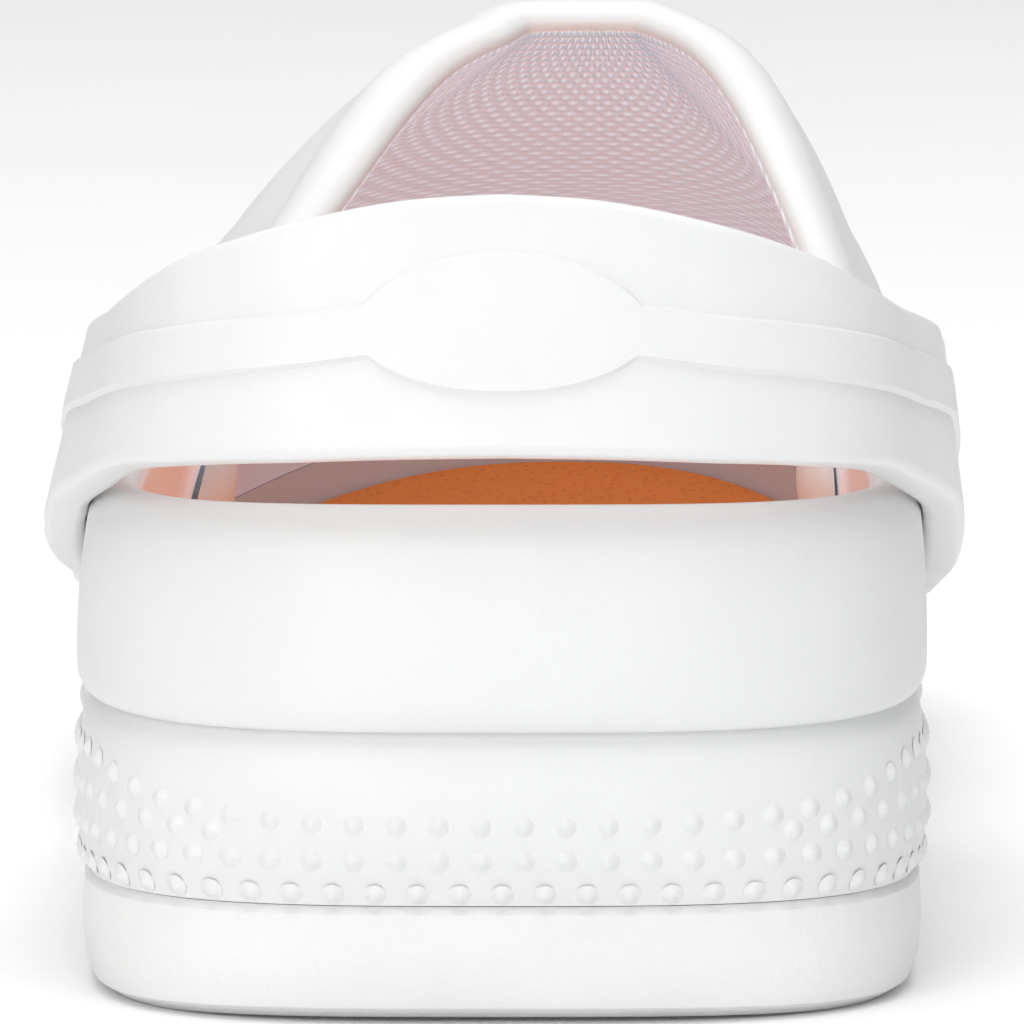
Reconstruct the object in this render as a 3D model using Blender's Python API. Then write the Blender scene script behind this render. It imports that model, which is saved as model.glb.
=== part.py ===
"""A left chef clog of moulded foam: a hollow upper with an open collar, a dotted midsole, an outsole with
lugs, a loose insole and a heel strap that turns on two rivets.

X points to the medial side, Y from the heel to the toe, Z up. The origin is on the floor, under the middle
of the shoe. A share is a share of LENGTH, 0 at the heel's back and 1 at the toe's tip.
"""

import math

import bmesh
import bpy
import numpy as np
from mathutils import Matrix, Vector
from mathutils.bvhtree import BVHTree

MM = 0.001

# Size of the shoe
LENGTH = 284 * MM
BALL_WIDTH = 100.5 * MM
HEEL_WIDTH = 88 * MM
INSTEP_HEIGHT = 98 * MM  # top of the vamp where the collar meets it
RIM_HEIGHT = 53 * MM  # collar at the back of the heel
GAP = 0.3 * MM  # between pieces that touch

# Sole
SEAM_HEIGHT = 12 * MM  # top of the outsole at the heel
LEDGE_HEIGHT = 29.5 * MM  # top of the midsole's side at the heel
FLOOR_HEIGHT = 24 * MM  # top of the midsole under the heel
TOE_SPRING = 13 * MM
TOE_SPRING_START = 0.70
HEEL_BEVEL = 0.8 * MM
HEEL_BEVEL_END = 0.07
ARCH_LIFT = 2 * MM
ARCH_SPAN = (0.34, 0.56)
GROOVE_WIDTH = 3.2 * MM
GROOVE_DEPTH = 2.6 * MM
GROOVE_PITCH = 10 * MM
GROOVE_MARGIN = 8 * MM
CENTRE_GROOVE = 3.2 * MM
HEEL_TREAD = (0.075, 0.31)
BALL_TREAD = (0.53, 0.90)

# Insole
INSOLE_THICKNESS = 3.6 * MM
INSOLE_EDGE_ROUND = 1.2 * MM
INSOLE_PLAY = 0.5 * MM

# Upper
WALL = 5 * MM
FOOT_INSET = 5.6 * MM  # from the plan to the wall's inner face at its foot
TUCK_RUN = 1.3 * MM
TUCK_RISE = 2.6 * MM
RIM_OUTER_RUN = 3.3 * MM
RIM_OUTER_RISE = 5.5 * MM
RIM_INNER_RISE = 2.4 * MM
CREST = 0.03  # how far the arch falls away beside the ridge, as a share of its height
CREST_WAY = 0.40  # how soon it does, as a share of a rib

# Strap and rivets
STRAP_WIDTH = 26.2 * MM  # at the back
STRAP_THICKNESS = 4.4 * MM
STRAP_EDGE = 1.2 * MM
STRAP_RAISE = 0.6 * MM
STRAP_STEP_SLOPE = 0.7  # run of the raised band's edge for each unit that it rises
STRAP_BACK = 1.6 * MM  # from the heel's back to the middle of the strap's thickness
STRAP_LEAN = math.radians(12)  # how far its top leans in at the back
STRAP_RISE = 25.7 * MM  # from the pivots up to the strap's middle at the back
STRAP_END_RADIUS = 13 * MM
STRAP_END_BORDER = 4 * MM  # round the raised pad under the rivet's button
PIVOT_FROM_HEEL = 103 * MM
PIVOT_HEIGHT = 44.5 * MM
PIVOT_SLOPE = math.radians(9)
SHANK_RADIUS = 3 * MM
BUTTON_RADIUS = 7.5 * MM
BUTTON_HEIGHT = 2.6 * MM
CAP_RADIUS = 7 * MM
CAP_HEIGHT = 4 * MM
RIVET_EDGE = 0.8 * MM  # height of the side under each dome

# Mesh density
RIBS_A_SIDE = 36
OUTER_STEPS = 9
INNER_STEPS = 7
EDGE_STEPS = 2
ROUND_SIDES = 24
DOME_STEPS = 4
COLUMNS = 4
PLATE_STEPS = 9
SIDE_STEPS = 13
END_STEPS = 6
NECK_STEPS = 2

# Fineness of the curves that the meshes are read from
FINE_STEPS = 3000
RIB_STEPS = 160
LINE_STEPS = 200
HALVING_STEPS = 40
FOOT_CROWDING = 1.7  # more puts a rib's points closer together at its foot
SHARP_ANGLE = math.radians(35)
MERGE_DISTANCE = 0.02 * MM
FEELER_STEPS = 7  # points across the strap that look for the wall
REACH = 20 * MM  # how far off the wall a ray starts
BORE_LENGTH = 60 * MM

# The origin lies midway between the toe's tip and the strap's back, which overhangs the heel
STRAP_TILT_OUT = (STRAP_WIDTH / 2 - STRAP_EDGE) * math.sin(STRAP_LEAN)
STRAP_OVERHANG = STRAP_THICKNESS / 2 * math.cos(STRAP_LEAN) + STRAP_TILT_OUT - STRAP_BACK
ORIGIN_FROM_HEEL = (LENGTH - STRAP_OVERHANG) / 2

LATERAL = -1
MEDIAL = 1

# Colour and roughness of each kind of piece
OUTSOLE_LOOK = ((0.86, 0.86, 0.85), 0.6)
FOAM_LOOK = ((0.89, 0.89, 0.88), 0.45)
INSOLE_LOOK = ((0.80, 0.28, 0.06), 0.8)
RIVET_LOOK = ((0.88, 0.88, 0.87), 0.4)


def table(columns, *rows):
    """A table as one array for each named column."""
    return {name: np.array(values, float) for name, values in zip(columns.split(), zip(*rows))}


# Plan of the wall: toward_ball is 0 at the heel's width and 1 at the ball's, centre a share of BALL_WIDTH
PLAN = table(
    "share toward_ball centre",
    (0.00, 0.00, 0.000),
    (0.15, 0.00, 0.000),
    (0.36, -0.42, 0.008),
    (0.50, 0.40, -0.004),
    (0.66, 1.00, 0.000),
    (0.80, 0.98, 0.018),
    (0.90, 0.88, 0.050),
    (1.00, 0.75, 0.080),
)
HEEL_SQUARE = 3.2
TOE_SQUARE = 2.3
TOE_ROUND = 0.27

# Levels above the toe spring, as shares of SEAM_HEIGHT, LEDGE_HEIGHT, FLOOR_HEIGHT and INSTEP_HEIGHT
LEVELS = table(
    "share seam ledge floor ridge",
    (0.00, 1.00, 1.00, 1.00, 0.88),
    (0.15, 0.99, 1.05, 0.98, 0.95),
    (0.30, 0.95, 1.06, 0.91, 0.995),
    (0.42, 0.90, 1.02, 0.82, 1.010),
    (0.50, 0.84, 0.96, 0.73, 0.955),
    (0.60, 0.79, 0.88, 0.64, 0.875),
    (0.70, 0.75, 0.82, 0.60, 0.805),
    (0.80, 0.74, 0.79, 0.59, 0.745),
    (0.90, 0.74, 0.77, 0.59, 0.680),
    (1.00, 0.74, 0.77, 0.59, 0.600),
)
LEVEL_SIZES = {"seam": SEAM_HEIGHT, "ledge": LEDGE_HEIGHT, "floor": FLOOR_HEIGHT, "ridge": INSTEP_HEIGHT}

# Roundness of the upper's sections on each side: 2 is an ellipse, more is squarer
SECTIONS = table(
    "share lateral medial",
    (0.00, 2.30, 2.30),
    (0.15, 2.10, 2.40),
    (0.30, 1.64, 2.20),
    (0.45, 1.72, 2.20),
    (0.60, 1.72, 2.15),
    (0.72, 2.00, 2.35),
    (0.85, 2.70, 2.90),
    (1.00, 3.60, 3.60),
)

# Top line of the upper across its width, as a share of BALL_WIDTH
SPINE = table(
    "share centre",
    (0.00, 0.000),
    (0.16, 0.010),
    (0.30, 0.100),
    (0.45, 0.104),
    (1.00, 0.085),
)
SPINE_BACK = 0.20  # ribs of the heel fan out from here
SPINE_FRONT = 0.40  # ribs of the vamp fan out from here
RIB_SPAN = (0.13, 0.45)  # plan shares whose ribs start between those two

# Side view of the collar: rise is 0 at RIM_HEIGHT and 1 at INSTEP_HEIGHT
COLLAR = table(
    "share rise",
    (0.000, 0.00),
    (0.120, -0.01),
    (0.200, 0.05),
    (0.270, 0.24),
    (0.340, 0.53),
    (0.400, 0.775),
    (0.435, 0.93),
    (0.465, 1.02),
    (0.500, 1.40),
    (1.000, 4.00),
)

# Side of the midsole: height from the seam (0) to the ledge (1), and how far it stands out from the plan
MIDSOLE_SIDE = table(
    "height out",
    (0.00, -1.1 * MM),
    (0.10, -0.3 * MM),
    (0.35, 0.0 * MM),
    (0.65, -0.1 * MM),
    (0.88, -0.7 * MM),
    (1.00, -2.1 * MM),
)

# Side of the outsole: height from its bottom (0) to the seam (1), and how far it stands out from the plan
OUTSOLE_SIDE = table(
    "height out",
    (0.00, -3.2 * MM),
    (0.09, -1.5 * MM),
    (0.28, -0.7 * MM),
    (0.60, -0.5 * MM),
    (0.93, -0.7 * MM),
    (1.00, -1.4 * MM),
)

# Strap from the back (0) to the neck before the rivet (1): forward and drop are shares of the way there,
# side a share of half of HEEL_WIDTH, turn how far it has taken on the wall's place and lean, width a share
# of STRAP_WIDTH, and band how far the raised band lies above the middle, as a share of half its width
STRAP = table(
    "station forward side drop turn width band",
    (0.00, 0.000, 0.000, 0.00, 0.00, 1.000, 0.00),
    (0.05, 0.001, 0.145, 0.01, 0.00, 0.990, 0.00),
    (0.16, 0.012, 0.450, 0.08, 0.00, 0.910, 0.00),
    (0.27, 0.065, 0.690, 0.18, 0.00, 0.800, 0.06),
    (0.40, 0.190, 0.870, 0.33, 0.15, 0.690, 0.16),
    (0.58, 0.420, 0.985, 0.57, 0.50, 0.750, 0.24),
    (0.80, 0.730, 1.020, 0.86, 0.95, 0.920, 0.12),
    (1.00, 1.000, 1.035, 1.00, 1.00, 1.000, 0.00),
)
STRAP_NECK = 20 * MM  # from the pivot back to the neck
PUSH_FADE = 0.12  # slope at which the strap closes in again after passing the wall
STRAP_BAND = 5.6 * MM  # width of the strap's raised band
STRAP_LENS = (29 * MM, 14.4 * MM)  # length and width of the raised plate at the back


def smooth(rows, column, at):
    """Reads a table's column on a smooth curve through its rows that never overshoots them."""
    x = next(iter(rows.values()))
    y = rows[column]
    at = np.clip(np.asarray(at, float), x[0], x[-1])
    step = np.diff(x)
    slope = np.diff(y) / step
    tangent = np.zeros_like(y)
    same_way = slope[:-1] * slope[1:] > 0
    before = 2 * step[1:] + step[:-1]
    after = step[1:] + 2 * step[:-1]
    one = np.where(same_way, slope[:-1], 1)
    other = np.where(same_way, slope[1:], 1)
    mean = (before + after) / (before / one + after / other)
    tangent[1:-1] = np.where(same_way, mean, 0)
    tangent[0] = slope[0]
    tangent[-1] = slope[-1]
    i = np.clip(np.searchsorted(x, at, side="right") - 1, 0, len(x) - 2)
    t = (at - x[i]) / step[i]
    return (
        (2 * t**3 - 3 * t**2 + 1) * y[i]
        + (t**3 - 2 * t**2 + t) * step[i] * tangent[i]
        + (3 * t**2 - 2 * t**3) * y[i + 1]
        + (t**3 - t**2) * step[i] * tangent[i + 1]
    )


def y_of(share):
    return share * LENGTH - ORIGIN_FROM_HEEL


def share_of(y):
    return np.clip((y + ORIGIN_FROM_HEEL) / LENGTH, 0, 1)


def toe_lift(share):
    """How far every layer of the sole rises towards the toe."""
    return TOE_SPRING * np.clip((share - TOE_SPRING_START) / (1 - TOE_SPRING_START), 0, 1) ** 2


def level(name, y):
    """Height of the seam, ledge, floor or ridge at a place along the shoe."""
    share = share_of(y)
    return toe_lift(share) + smooth(LEVELS, name, share) * LEVEL_SIZES[name]


def sole_bottom(y):
    """Underside of the outsole: flat under the heel and the ball, raised between them and at both ends."""
    share = share_of(y)
    bevel = HEEL_BEVEL * np.clip(1 - share / HEEL_BEVEL_END, 0, 1) ** 2
    arch = np.clip((share - ARCH_SPAN[0]) / (ARCH_SPAN[1] - ARCH_SPAN[0]), 0, 1)
    return toe_lift(share) + bevel + ARCH_LIFT * np.sin(np.pi * arch) ** 2


def plan_side(share, side):
    """The plan's point at a share of the length, on one side."""
    half = (HEEL_WIDTH + (BALL_WIDTH - HEEL_WIDTH) * smooth(PLAN, "toward_ball", share)) / 2
    heel_round = HEEL_WIDTH / 2 / LENGTH
    heel = np.clip(1 - share / heel_round, 0, 1)
    toe = np.clip(1 - (1 - share) / TOE_ROUND, 0, 1)
    half = half * (1 - heel**HEEL_SQUARE) ** (1 / HEEL_SQUARE) * (1 - toe**TOE_SQUARE) ** (1 / TOE_SQUARE)
    return np.stack([smooth(PLAN, "centre", share) * BALL_WIDTH + side * half, y_of(share)], -1)


def plan_shares(count):
    """Shares of the length, heel to toe, spaced evenly round the plan."""
    share = (1 - np.cos(np.linspace(0, np.pi, FINE_STEPS))) / 2
    half = (plan_side(share, MEDIAL) - plan_side(share, LATERAL))[:, 0] / 2
    run = np.concatenate([[0], np.cumsum(np.hypot(np.diff(half), np.diff(y_of(share))))])
    return np.interp(np.linspace(0, run[-1], count + 1), run, share)


class Plan:
    """The plan as a ring of points: the heel's back, the lateral side, the toe's tip, the medial side."""

    def __init__(self, ribs_a_side):
        shares = plan_shares(ribs_a_side)
        back = shares[-2:0:-1]
        self.share = np.concatenate([shares, back])
        self.side = np.concatenate([np.full(len(shares), LATERAL), np.full(len(back), MEDIAL)])
        self.point = np.concatenate([plan_side(shares, LATERAL), plan_side(back, MEDIAL)])
        along = np.roll(self.point, -1, 0) - np.roll(self.point, 1, 0)
        self.normal = np.stack([-along[:, 1], along[:, 0]], -1)
        self.normal /= np.linalg.norm(self.normal, axis=1)[:, None]

    def ring(self, out, height):
        """The plan moved out by a distance, at a height that depends on where along the shoe it is."""
        flat = self.point + self.normal * out
        return np.column_stack([flat, height(flat[:, 1])])


class Last:
    """The upper's outer form, closed over the collar: an arch over the plan along a rib for each point."""

    def __init__(self, plan):
        start = np.clip((plan.share - RIB_SPAN[0]) / (RIB_SPAN[1] - RIB_SPAN[0]), 0, 1)
        start = SPINE_BACK + (SPINE_FRONT - SPINE_BACK) * start * start * (3 - 2 * start)
        self.inner = np.stack([smooth(SPINE, "centre", start) * BALL_WIDTH, y_of(start)], -1)
        self.outer = plan.point
        self.foot = level("ledge", plan.point[:, 1]) + TUCK_RISE
        lateral = smooth(SECTIONS, "lateral", plan.share)
        medial = smooth(SECTIONS, "medial", plan.share)
        self.power = np.where(plan.side == LATERAL, lateral, medial)

    def at(self, way):
        """Points a way out along each rib, from 0 on the spine to 1 on the plan."""
        flat = self.inner[:, None] + way[..., None] * (self.outer - self.inner)[:, None]
        foot = self.foot[:, None]
        power = self.power[:, None]
        bulge = np.clip(1 - way**power, 0, 1) ** (1 / power)
        bulge = bulge * (1 - CREST * (1 - np.exp(-((way / CREST_WAY) ** 2))))
        height = foot + (level("ridge", flat[..., 1]) - foot) * bulge
        return np.concatenate([flat, height[..., None]], -1)

    def collar_way(self):
        """How far out along each rib the collar is, found by halving."""
        near = np.zeros((len(self.outer), 1))
        far = np.ones((len(self.outer), 1))
        for _ in range(HALVING_STEPS):
            middle = (near + far) / 2
            point = self.at(middle)
            rise = smooth(COLLAR, "rise", share_of(point[..., 1]))
            above = point[..., 2] > RIM_HEIGHT + (INSTEP_HEIGHT - RIM_HEIGHT) * rise
            near = np.where(above, middle, near)
            far = np.where(above, far, middle)
        return far

    def ribs(self):
        """Dense ribs from the collar to the foot: points, outward normals and distance from the collar."""
        way = self.collar_way()
        point = self.at(way + (1 - way) * (1 - (1 - np.linspace(0, 1, RIB_STEPS)) ** 3))
        around = np.roll(point, -1, 0) - np.roll(point, 1, 0)
        down = np.gradient(point, axis=1)
        normal = np.cross(around, down)
        normal /= np.linalg.norm(normal, axis=2)[..., None]
        run = np.cumsum(np.linalg.norm(np.diff(point, axis=1, prepend=point[:, :1]), axis=2), axis=1)
        return point, normal, run


def read_along(values, run, at):
    """Reads values given along each rib at other distances from the collar."""
    read = [[np.interp(a, r, v[:, k]) for k in range(3)] for v, r, a in zip(values, run, at)]
    return np.moveaxis(np.array(read), 1, 2)


def quarter(steps):
    """Sine and cosine at the inner points of a quarter turn."""
    angle = np.linspace(0, np.pi / 2, steps + 1)
    return list(zip(np.sin(angle), np.cos(angle)))


def spread(share):
    """Shares of a rib from the rim (0) to the foot (1), closer together towards the foot."""
    return 1 - (1 - share) ** FOOT_CROWDING


def upper_rings(plan):
    """The upper's wall as rings: up the outside from its foot, over the rim and down the inside."""
    point, normal, run = Last(plan).ribs()
    length = run[:, -1:]
    down = np.gradient(point, axis=1)[:, 0]
    down /= np.linalg.norm(down, axis=1)[:, None]
    edge = point[:, 0]
    face = normal[:, 0]
    rings = []
    for sine, cosine in quarter(EDGE_STEPS)[:-1]:
        tucked = plan.ring(-TUCK_RUN * (1 - sine), lambda y: level("ledge", y))
        tucked[:, 2] = level("ledge", plan.point[:, 1]) + TUCK_RISE * (1 - cosine)
        rings.append(tucked)
    outer = RIM_OUTER_RISE + (length - RIM_OUTER_RISE) * spread(np.linspace(1, 0, OUTER_STEPS))
    rings += list(np.moveaxis(read_along(point, run, outer), 1, 0))
    for sine, cosine in quarter(EDGE_STEPS)[1:]:
        rings.append(edge + down * RIM_OUTER_RISE * (1 - sine) - face * RIM_OUTER_RUN * (1 - cosine))
    for sine, cosine in quarter(EDGE_STEPS)[1:-1]:
        inward = RIM_OUTER_RUN + (WALL - RIM_OUTER_RUN) * sine
        rings.append(edge + down * RIM_INNER_RISE * (1 - cosine) - face * inward)
    inner = RIM_INNER_RISE + (length - RIM_INNER_RISE) * spread(np.linspace(0, 1, INNER_STEPS))
    rings += list(np.moveaxis(read_along(point, run, inner) - WALL * read_along(normal, run, inner), 1, 0))
    rings.append(plan.ring(-FOOT_INSET, lambda y: level("ledge", y)))
    return rings


def inside_out(points, faces):
    """Whether the faces of a closed shape turn inwards."""
    volume = 0
    for face in faces:
        first, *rest = (Vector(points[k]) for k in face)
        volume += sum(first.dot(one.cross(other)) for one, other in zip(rest, rest[1:]))
    return volume < 0


def mesh_object(name, points, faces, look):
    """An object from points and faces, with its normals facing out and its own material."""
    colour, roughness = look
    mesh = bpy.data.meshes.new(name)
    mesh.from_pydata([tuple(p) for p in points], [], faces)
    mesh.validate()
    made = bpy.data.objects.new(name, mesh)
    bpy.context.scene.collection.objects.link(made)
    if inside_out(points, faces):
        mesh.flip_normals()
    mesh.shade_smooth()
    mesh.set_sharp_from_angle(angle=SHARP_ANGLE)
    material = bpy.data.materials.new(name)
    material.use_nodes = True
    surface = material.node_tree.nodes["Principled BSDF"]
    surface.inputs["Base Color"].default_value = (*colour, 1)
    surface.inputs["Roughness"].default_value = roughness
    surface.inputs["Metallic"].default_value = 0
    mesh.materials.append(material)
    return made


def ring_faces(rings, size, closed):
    """Quads between neighbouring rings of a size, and between the last and the first if closed."""
    faces = []
    for r in range(rings if closed else rings - 1):
        here = r * size
        there = (r + 1) % rings * size
        for k in range(size):
            after = (k + 1) % size
            faces.append((here + k, here + after, there + after, there + k))
    return faces


def ladder(points, first, size, height):
    """Faces that close a ring with rungs across the shoe, whose added points lie at a given height."""
    half = size // 2
    rows = [[first]]
    for i in range(1, half):
        lateral = np.array(points[first + i])
        medial = np.array(points[first + size - i])
        row = [first + i]
        for c in range(1, COLUMNS):
            between = lateral + (medial - lateral) * c / COLUMNS
            points.append((between[0], between[1], float(height(between[1]))))
            row.append(len(points) - 1)
        rows.append(row + [first + size - i])
    rows.append([first + half])
    made = []
    for one, other in zip(rows, rows[1:]):
        if len(one) == 1:
            made += [(one[0], b, a) for a, b in zip(other, other[1:])]
        elif len(other) == 1:
            made += [(a, b, other[0]) for a, b in zip(one, one[1:])]
        else:
            made += [(one[k], one[k + 1], other[k + 1], other[k]) for k in range(len(one) - 1)]
    return made


def layered(rings, bottom, top):
    """Points and faces of rings stacked from the bottom up, closed by a ladder at each end."""
    size = len(rings[0])
    points = [tuple(p) for ring in rings for p in ring]
    faces = ring_faces(len(rings), size, False)
    faces += ladder(points, 0, size, bottom)
    faces += [f[::-1] for f in ladder(points, (len(rings) - 1) * size, size, top)]
    return points, faces


def outsole_rings(plan):
    """The outsole's side, bottom first."""
    rings = []
    for height, out in zip(OUTSOLE_SIDE["height"], OUTSOLE_SIDE["out"]):
        rings.append(plan.ring(out, lambda y: (1 - height) * sole_bottom(y) + height * level("seam", y)))
    return rings


def box_mesh(name, boxes):
    """One mesh of separate boxes, each given by its lowest corner, its highest corner and its pitch."""
    made = bpy.data.meshes.new(name)
    shape = bmesh.new()
    for low, high, pitch in boxes:
        size = Matrix.Diagonal([*(b - a for a, b in zip(low, high)), 1])
        middle = Matrix.Translation([(a + b) / 2 for a, b in zip(low, high)])
        bmesh.ops.create_cube(shape, size=1, matrix=middle @ Matrix.Rotation(pitch, 4, "X") @ size)
    shape.to_mesh(made)
    shape.free()
    return made


def rod_mesh(name, radius, length):
    """A round rod along Z, centred on the origin."""
    made = bpy.data.meshes.new(name)
    shape = bmesh.new()
    bmesh.ops.create_cone(
        shape, cap_ends=True, segments=ROUND_SIDES, radius1=radius, radius2=radius, depth=length
    )
    shape.to_mesh(made)
    shape.free()
    return made


def cutter(name, mesh, matrix=Matrix()):
    """A guide that is cut away from other pieces."""
    made = bpy.data.objects.new(name, mesh)
    made.matrix_world = matrix
    made.hide_render = True
    made.display_type = "WIRE"
    bpy.context.scene.collection.objects.link(made)
    return made


def cut(piece, tool):
    """Takes the cutter's shape out of a piece."""
    step = piece.modifiers.new(tool.name, "BOOLEAN")
    step.operation = "DIFFERENCE"
    step.solver = "EXACT"
    step.object = tool


def groove_box(share, half_length, left, right):
    """A groove's box from left to right, as deep as GROOVE_DEPTH wherever the underside is."""
    y = y_of(share)
    rise = float(sole_bottom(y))
    slope = float(sole_bottom(y + half_length) - sole_bottom(y - half_length)) / (2 * half_length)
    low = (left, y - half_length, rise - GROOVE_DEPTH)
    high = (right, y + half_length, rise + GROOVE_DEPTH)
    return low, high, math.atan(slope)


def cross_grooves():
    """Grooves across the heel and the ball that leave a plain border."""
    boxes = []
    for start, end in (HEEL_TREAD, BALL_TREAD):
        count = max(2, round((end - start) * LENGTH / GROOVE_PITCH))
        for share in np.linspace(start, end, count + 1):
            edge = [plan_side(np.array(share), side)[0] for side in (LATERAL, MEDIAL)]
            left = edge[0] + GROOVE_MARGIN
            right = edge[1] - GROOVE_MARGIN
            boxes.append(groove_box(share, GROOVE_WIDTH / 2, left, right))
    return boxes


def long_grooves():
    """A groove along the middle of the heel's tread, and of the ball's up to where the toe rises."""
    boxes = []
    for start, end in (HEEL_TREAD, (BALL_TREAD[0], TOE_SPRING_START)):
        middle = float(smooth(PLAN, "centre", (start + end) / 2)) * BALL_WIDTH
        half = (end - start) * LENGTH / 2
        side = CENTRE_GROOVE / 2
        boxes.append(groove_box((start + end) / 2, half, middle - side, middle + side))
    return boxes


def build_outsole(plan):
    shape = layered(outsole_rings(plan), sole_bottom, lambda y: level("seam", y))
    made = mesh_object("outsole", *shape, OUTSOLE_LOOK)
    cut(made, cutter("cross_grooves", box_mesh("cross_grooves", cross_grooves())))
    cut(made, cutter("long_grooves", box_mesh("long_grooves", long_grooves())))


def midsole_height(height, y):
    """A place on the midsole's side, from just above the outsole (0) to just under the upper (1)."""
    low = level("seam", y) + GAP
    high = level("ledge", y) - GAP
    return low + height * (high - low)


def midsole_rings(plan):
    """The midsole's side, the top of its rim and the rim's inner side, bottom first."""
    rings = []
    for height, out in zip(MIDSOLE_SIDE["height"], MIDSOLE_SIDE["out"]):
        rings.append(plan.ring(out, lambda y: midsole_height(height, y)))
    rings.append(plan.ring(-FOOT_INSET, lambda y: midsole_height(1, y)))
    rings.append(plan.ring(-FOOT_INSET, lambda y: level("floor", y)))
    return rings


def build_midsole(plan):
    """A tray: its rim carries the upper and its floor the insole."""
    shape = layered(midsole_rings(plan), lambda y: midsole_height(0, y), lambda y: level("floor", y))
    mesh_object("midsole", *shape, FOAM_LOOK)


def insole_rings(plan):
    """The insole's edge, bottom first."""
    out = -(FOOT_INSET + INSOLE_PLAY)
    high = GAP + INSOLE_THICKNESS
    steps = [(out - INSOLE_EDGE_ROUND / 2, GAP), (out, GAP + INSOLE_EDGE_ROUND / 2)]
    for sine, cosine in quarter(EDGE_STEPS):
        steps.append((out - INSOLE_EDGE_ROUND * (1 - cosine), high - INSOLE_EDGE_ROUND * (1 - sine)))
    return [plan.ring(o, lambda y: level("floor", y) + h) for o, h in steps]


def insole_top(y):
    return level("floor", y) + GAP + INSOLE_THICKNESS


def build_insole(plan):
    shape = layered(insole_rings(plan), lambda y: level("floor", y) + GAP, insole_top)
    mesh_object("insole", *shape, INSOLE_LOOK)


def build_upper(plan):
    rings = upper_rings(plan)
    points = [tuple(p) for ring in rings for p in ring]
    faces = ring_faces(len(rings), len(rings[0]), True)
    made = mesh_object("upper", points, faces, FOAM_LOOK)
    return made, BVHTree.FromPolygons(points, faces)


class Seat:
    """Where one rivet goes: a point on the upper's outer face, its axis and the planes clear of the wall."""

    def __init__(self, tree, side):
        aim = Vector((side * BALL_WIDTH, y_of(PIVOT_FROM_HEEL / LENGTH), PIVOT_HEIGHT))
        inward = Vector((-side, 0, 0))
        self.side = side
        self.point, self.axis = tree.ray_cast(aim, inward)[:2]
        if self.axis.x * side < 0:
            self.axis.negate()
        back = Vector((0, -math.cos(PIVOT_SLOPE), math.sin(PIVOT_SLOPE)))
        self.back = (back - self.axis * back.dot(self.axis)).normalized()
        self.up = self.axis.cross(self.back).normalized()
        if self.up.z < 0:
            self.up.negate()
        self.outer = max(self.heights(tree, STRAP_END_RADIUS, 1))
        self.inner = min(self.heights(tree, CAP_RADIUS, -1))

    def heights(self, tree, radius, way):
        """Heights of the wall over the seat's plane across a disc, outside (1) or inside (-1)."""
        reach = self.axis * way * REACH
        found = []
        for share in (0, 0.5, 1):
            for k in range(ROUND_SIDES):
                turn = 2 * math.pi * k / ROUND_SIDES
                spot = self.point + share * radius * (self.back * math.cos(turn) + self.up * math.sin(turn))
                hit = tree.ray_cast(spot + reach, -reach)[0]
                if hit is not None:
                    found.append((hit - self.point).dot(self.axis))
        return found

    def matrix(self):
        """The seat's frame with Z along its axis."""
        turned = Matrix((self.back, self.axis.cross(self.back), self.axis)).transposed().to_4x4()
        return Matrix.Translation(self.point) @ turned


def turned_mesh(profile):
    """A mesh turned round Z from a profile of radius and height, whose ends are on the axis."""
    points = []
    for radius, height in profile[1:-1]:
        for k in range(ROUND_SIDES):
            turn = 2 * math.pi * k / ROUND_SIDES
            points.append((radius * math.cos(turn), radius * math.sin(turn), height))
    faces = ring_faces(len(profile) - 2, ROUND_SIDES, False)
    points += [(0, 0, profile[0][1]), (0, 0, profile[-1][1])]
    last = (len(profile) - 3) * ROUND_SIDES
    for k in range(ROUND_SIDES):
        after = (k + 1) % ROUND_SIDES
        faces.append((len(points) - 2, after, k))
        faces.append((len(points) - 1, last + k, last + after))
    return points, faces


def dome(radius, height, base):
    """A domed top's profile from its rim to its crown: a short side, then an ellipse."""
    profile = [(radius, base + RIVET_EDGE)]
    for sine, cosine in quarter(DOME_STEPS)[1:]:
        profile.append((radius * cosine, base + RIVET_EDGE + (height - RIVET_EDGE) * sine))
    return profile


def rivet_profile(seat):
    """A domed button outside the strap, and its shank through strap and wall into the inner cap."""
    base = seat.outer + GAP + STRAP_THICKNESS + STRAP_RAISE + GAP
    end = seat.inner - CAP_HEIGHT / 2
    profile = [(0, end), (SHANK_RADIUS, end), (SHANK_RADIUS, base), (BUTTON_RADIUS, base)]
    return profile + dome(BUTTON_RADIUS, BUTTON_HEIGHT, base)


def build_rivet(seat, name):
    points, faces = turned_mesh(rivet_profile(seat))
    made = mesh_object(name, points, faces, RIVET_LOOK)
    made.matrix_world = seat.matrix()


def cap_profile(seat):
    """A domed cap on the wall's inner face, hollow where the shank ends."""
    base = GAP - seat.inner
    bore = SHANK_RADIUS + GAP
    depth = base + CAP_HEIGHT / 2
    profile = [(0, depth), (bore, depth), (bore, base), (CAP_RADIUS, base)]
    return profile + dome(CAP_RADIUS, CAP_HEIGHT, base)


def build_cap(seat, name):
    points, faces = turned_mesh(cap_profile(seat))
    made = mesh_object(name, points, faces, RIVET_LOOK)
    made.matrix_world = seat.matrix() @ Matrix.Rotation(math.pi, 4, "X")


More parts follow.
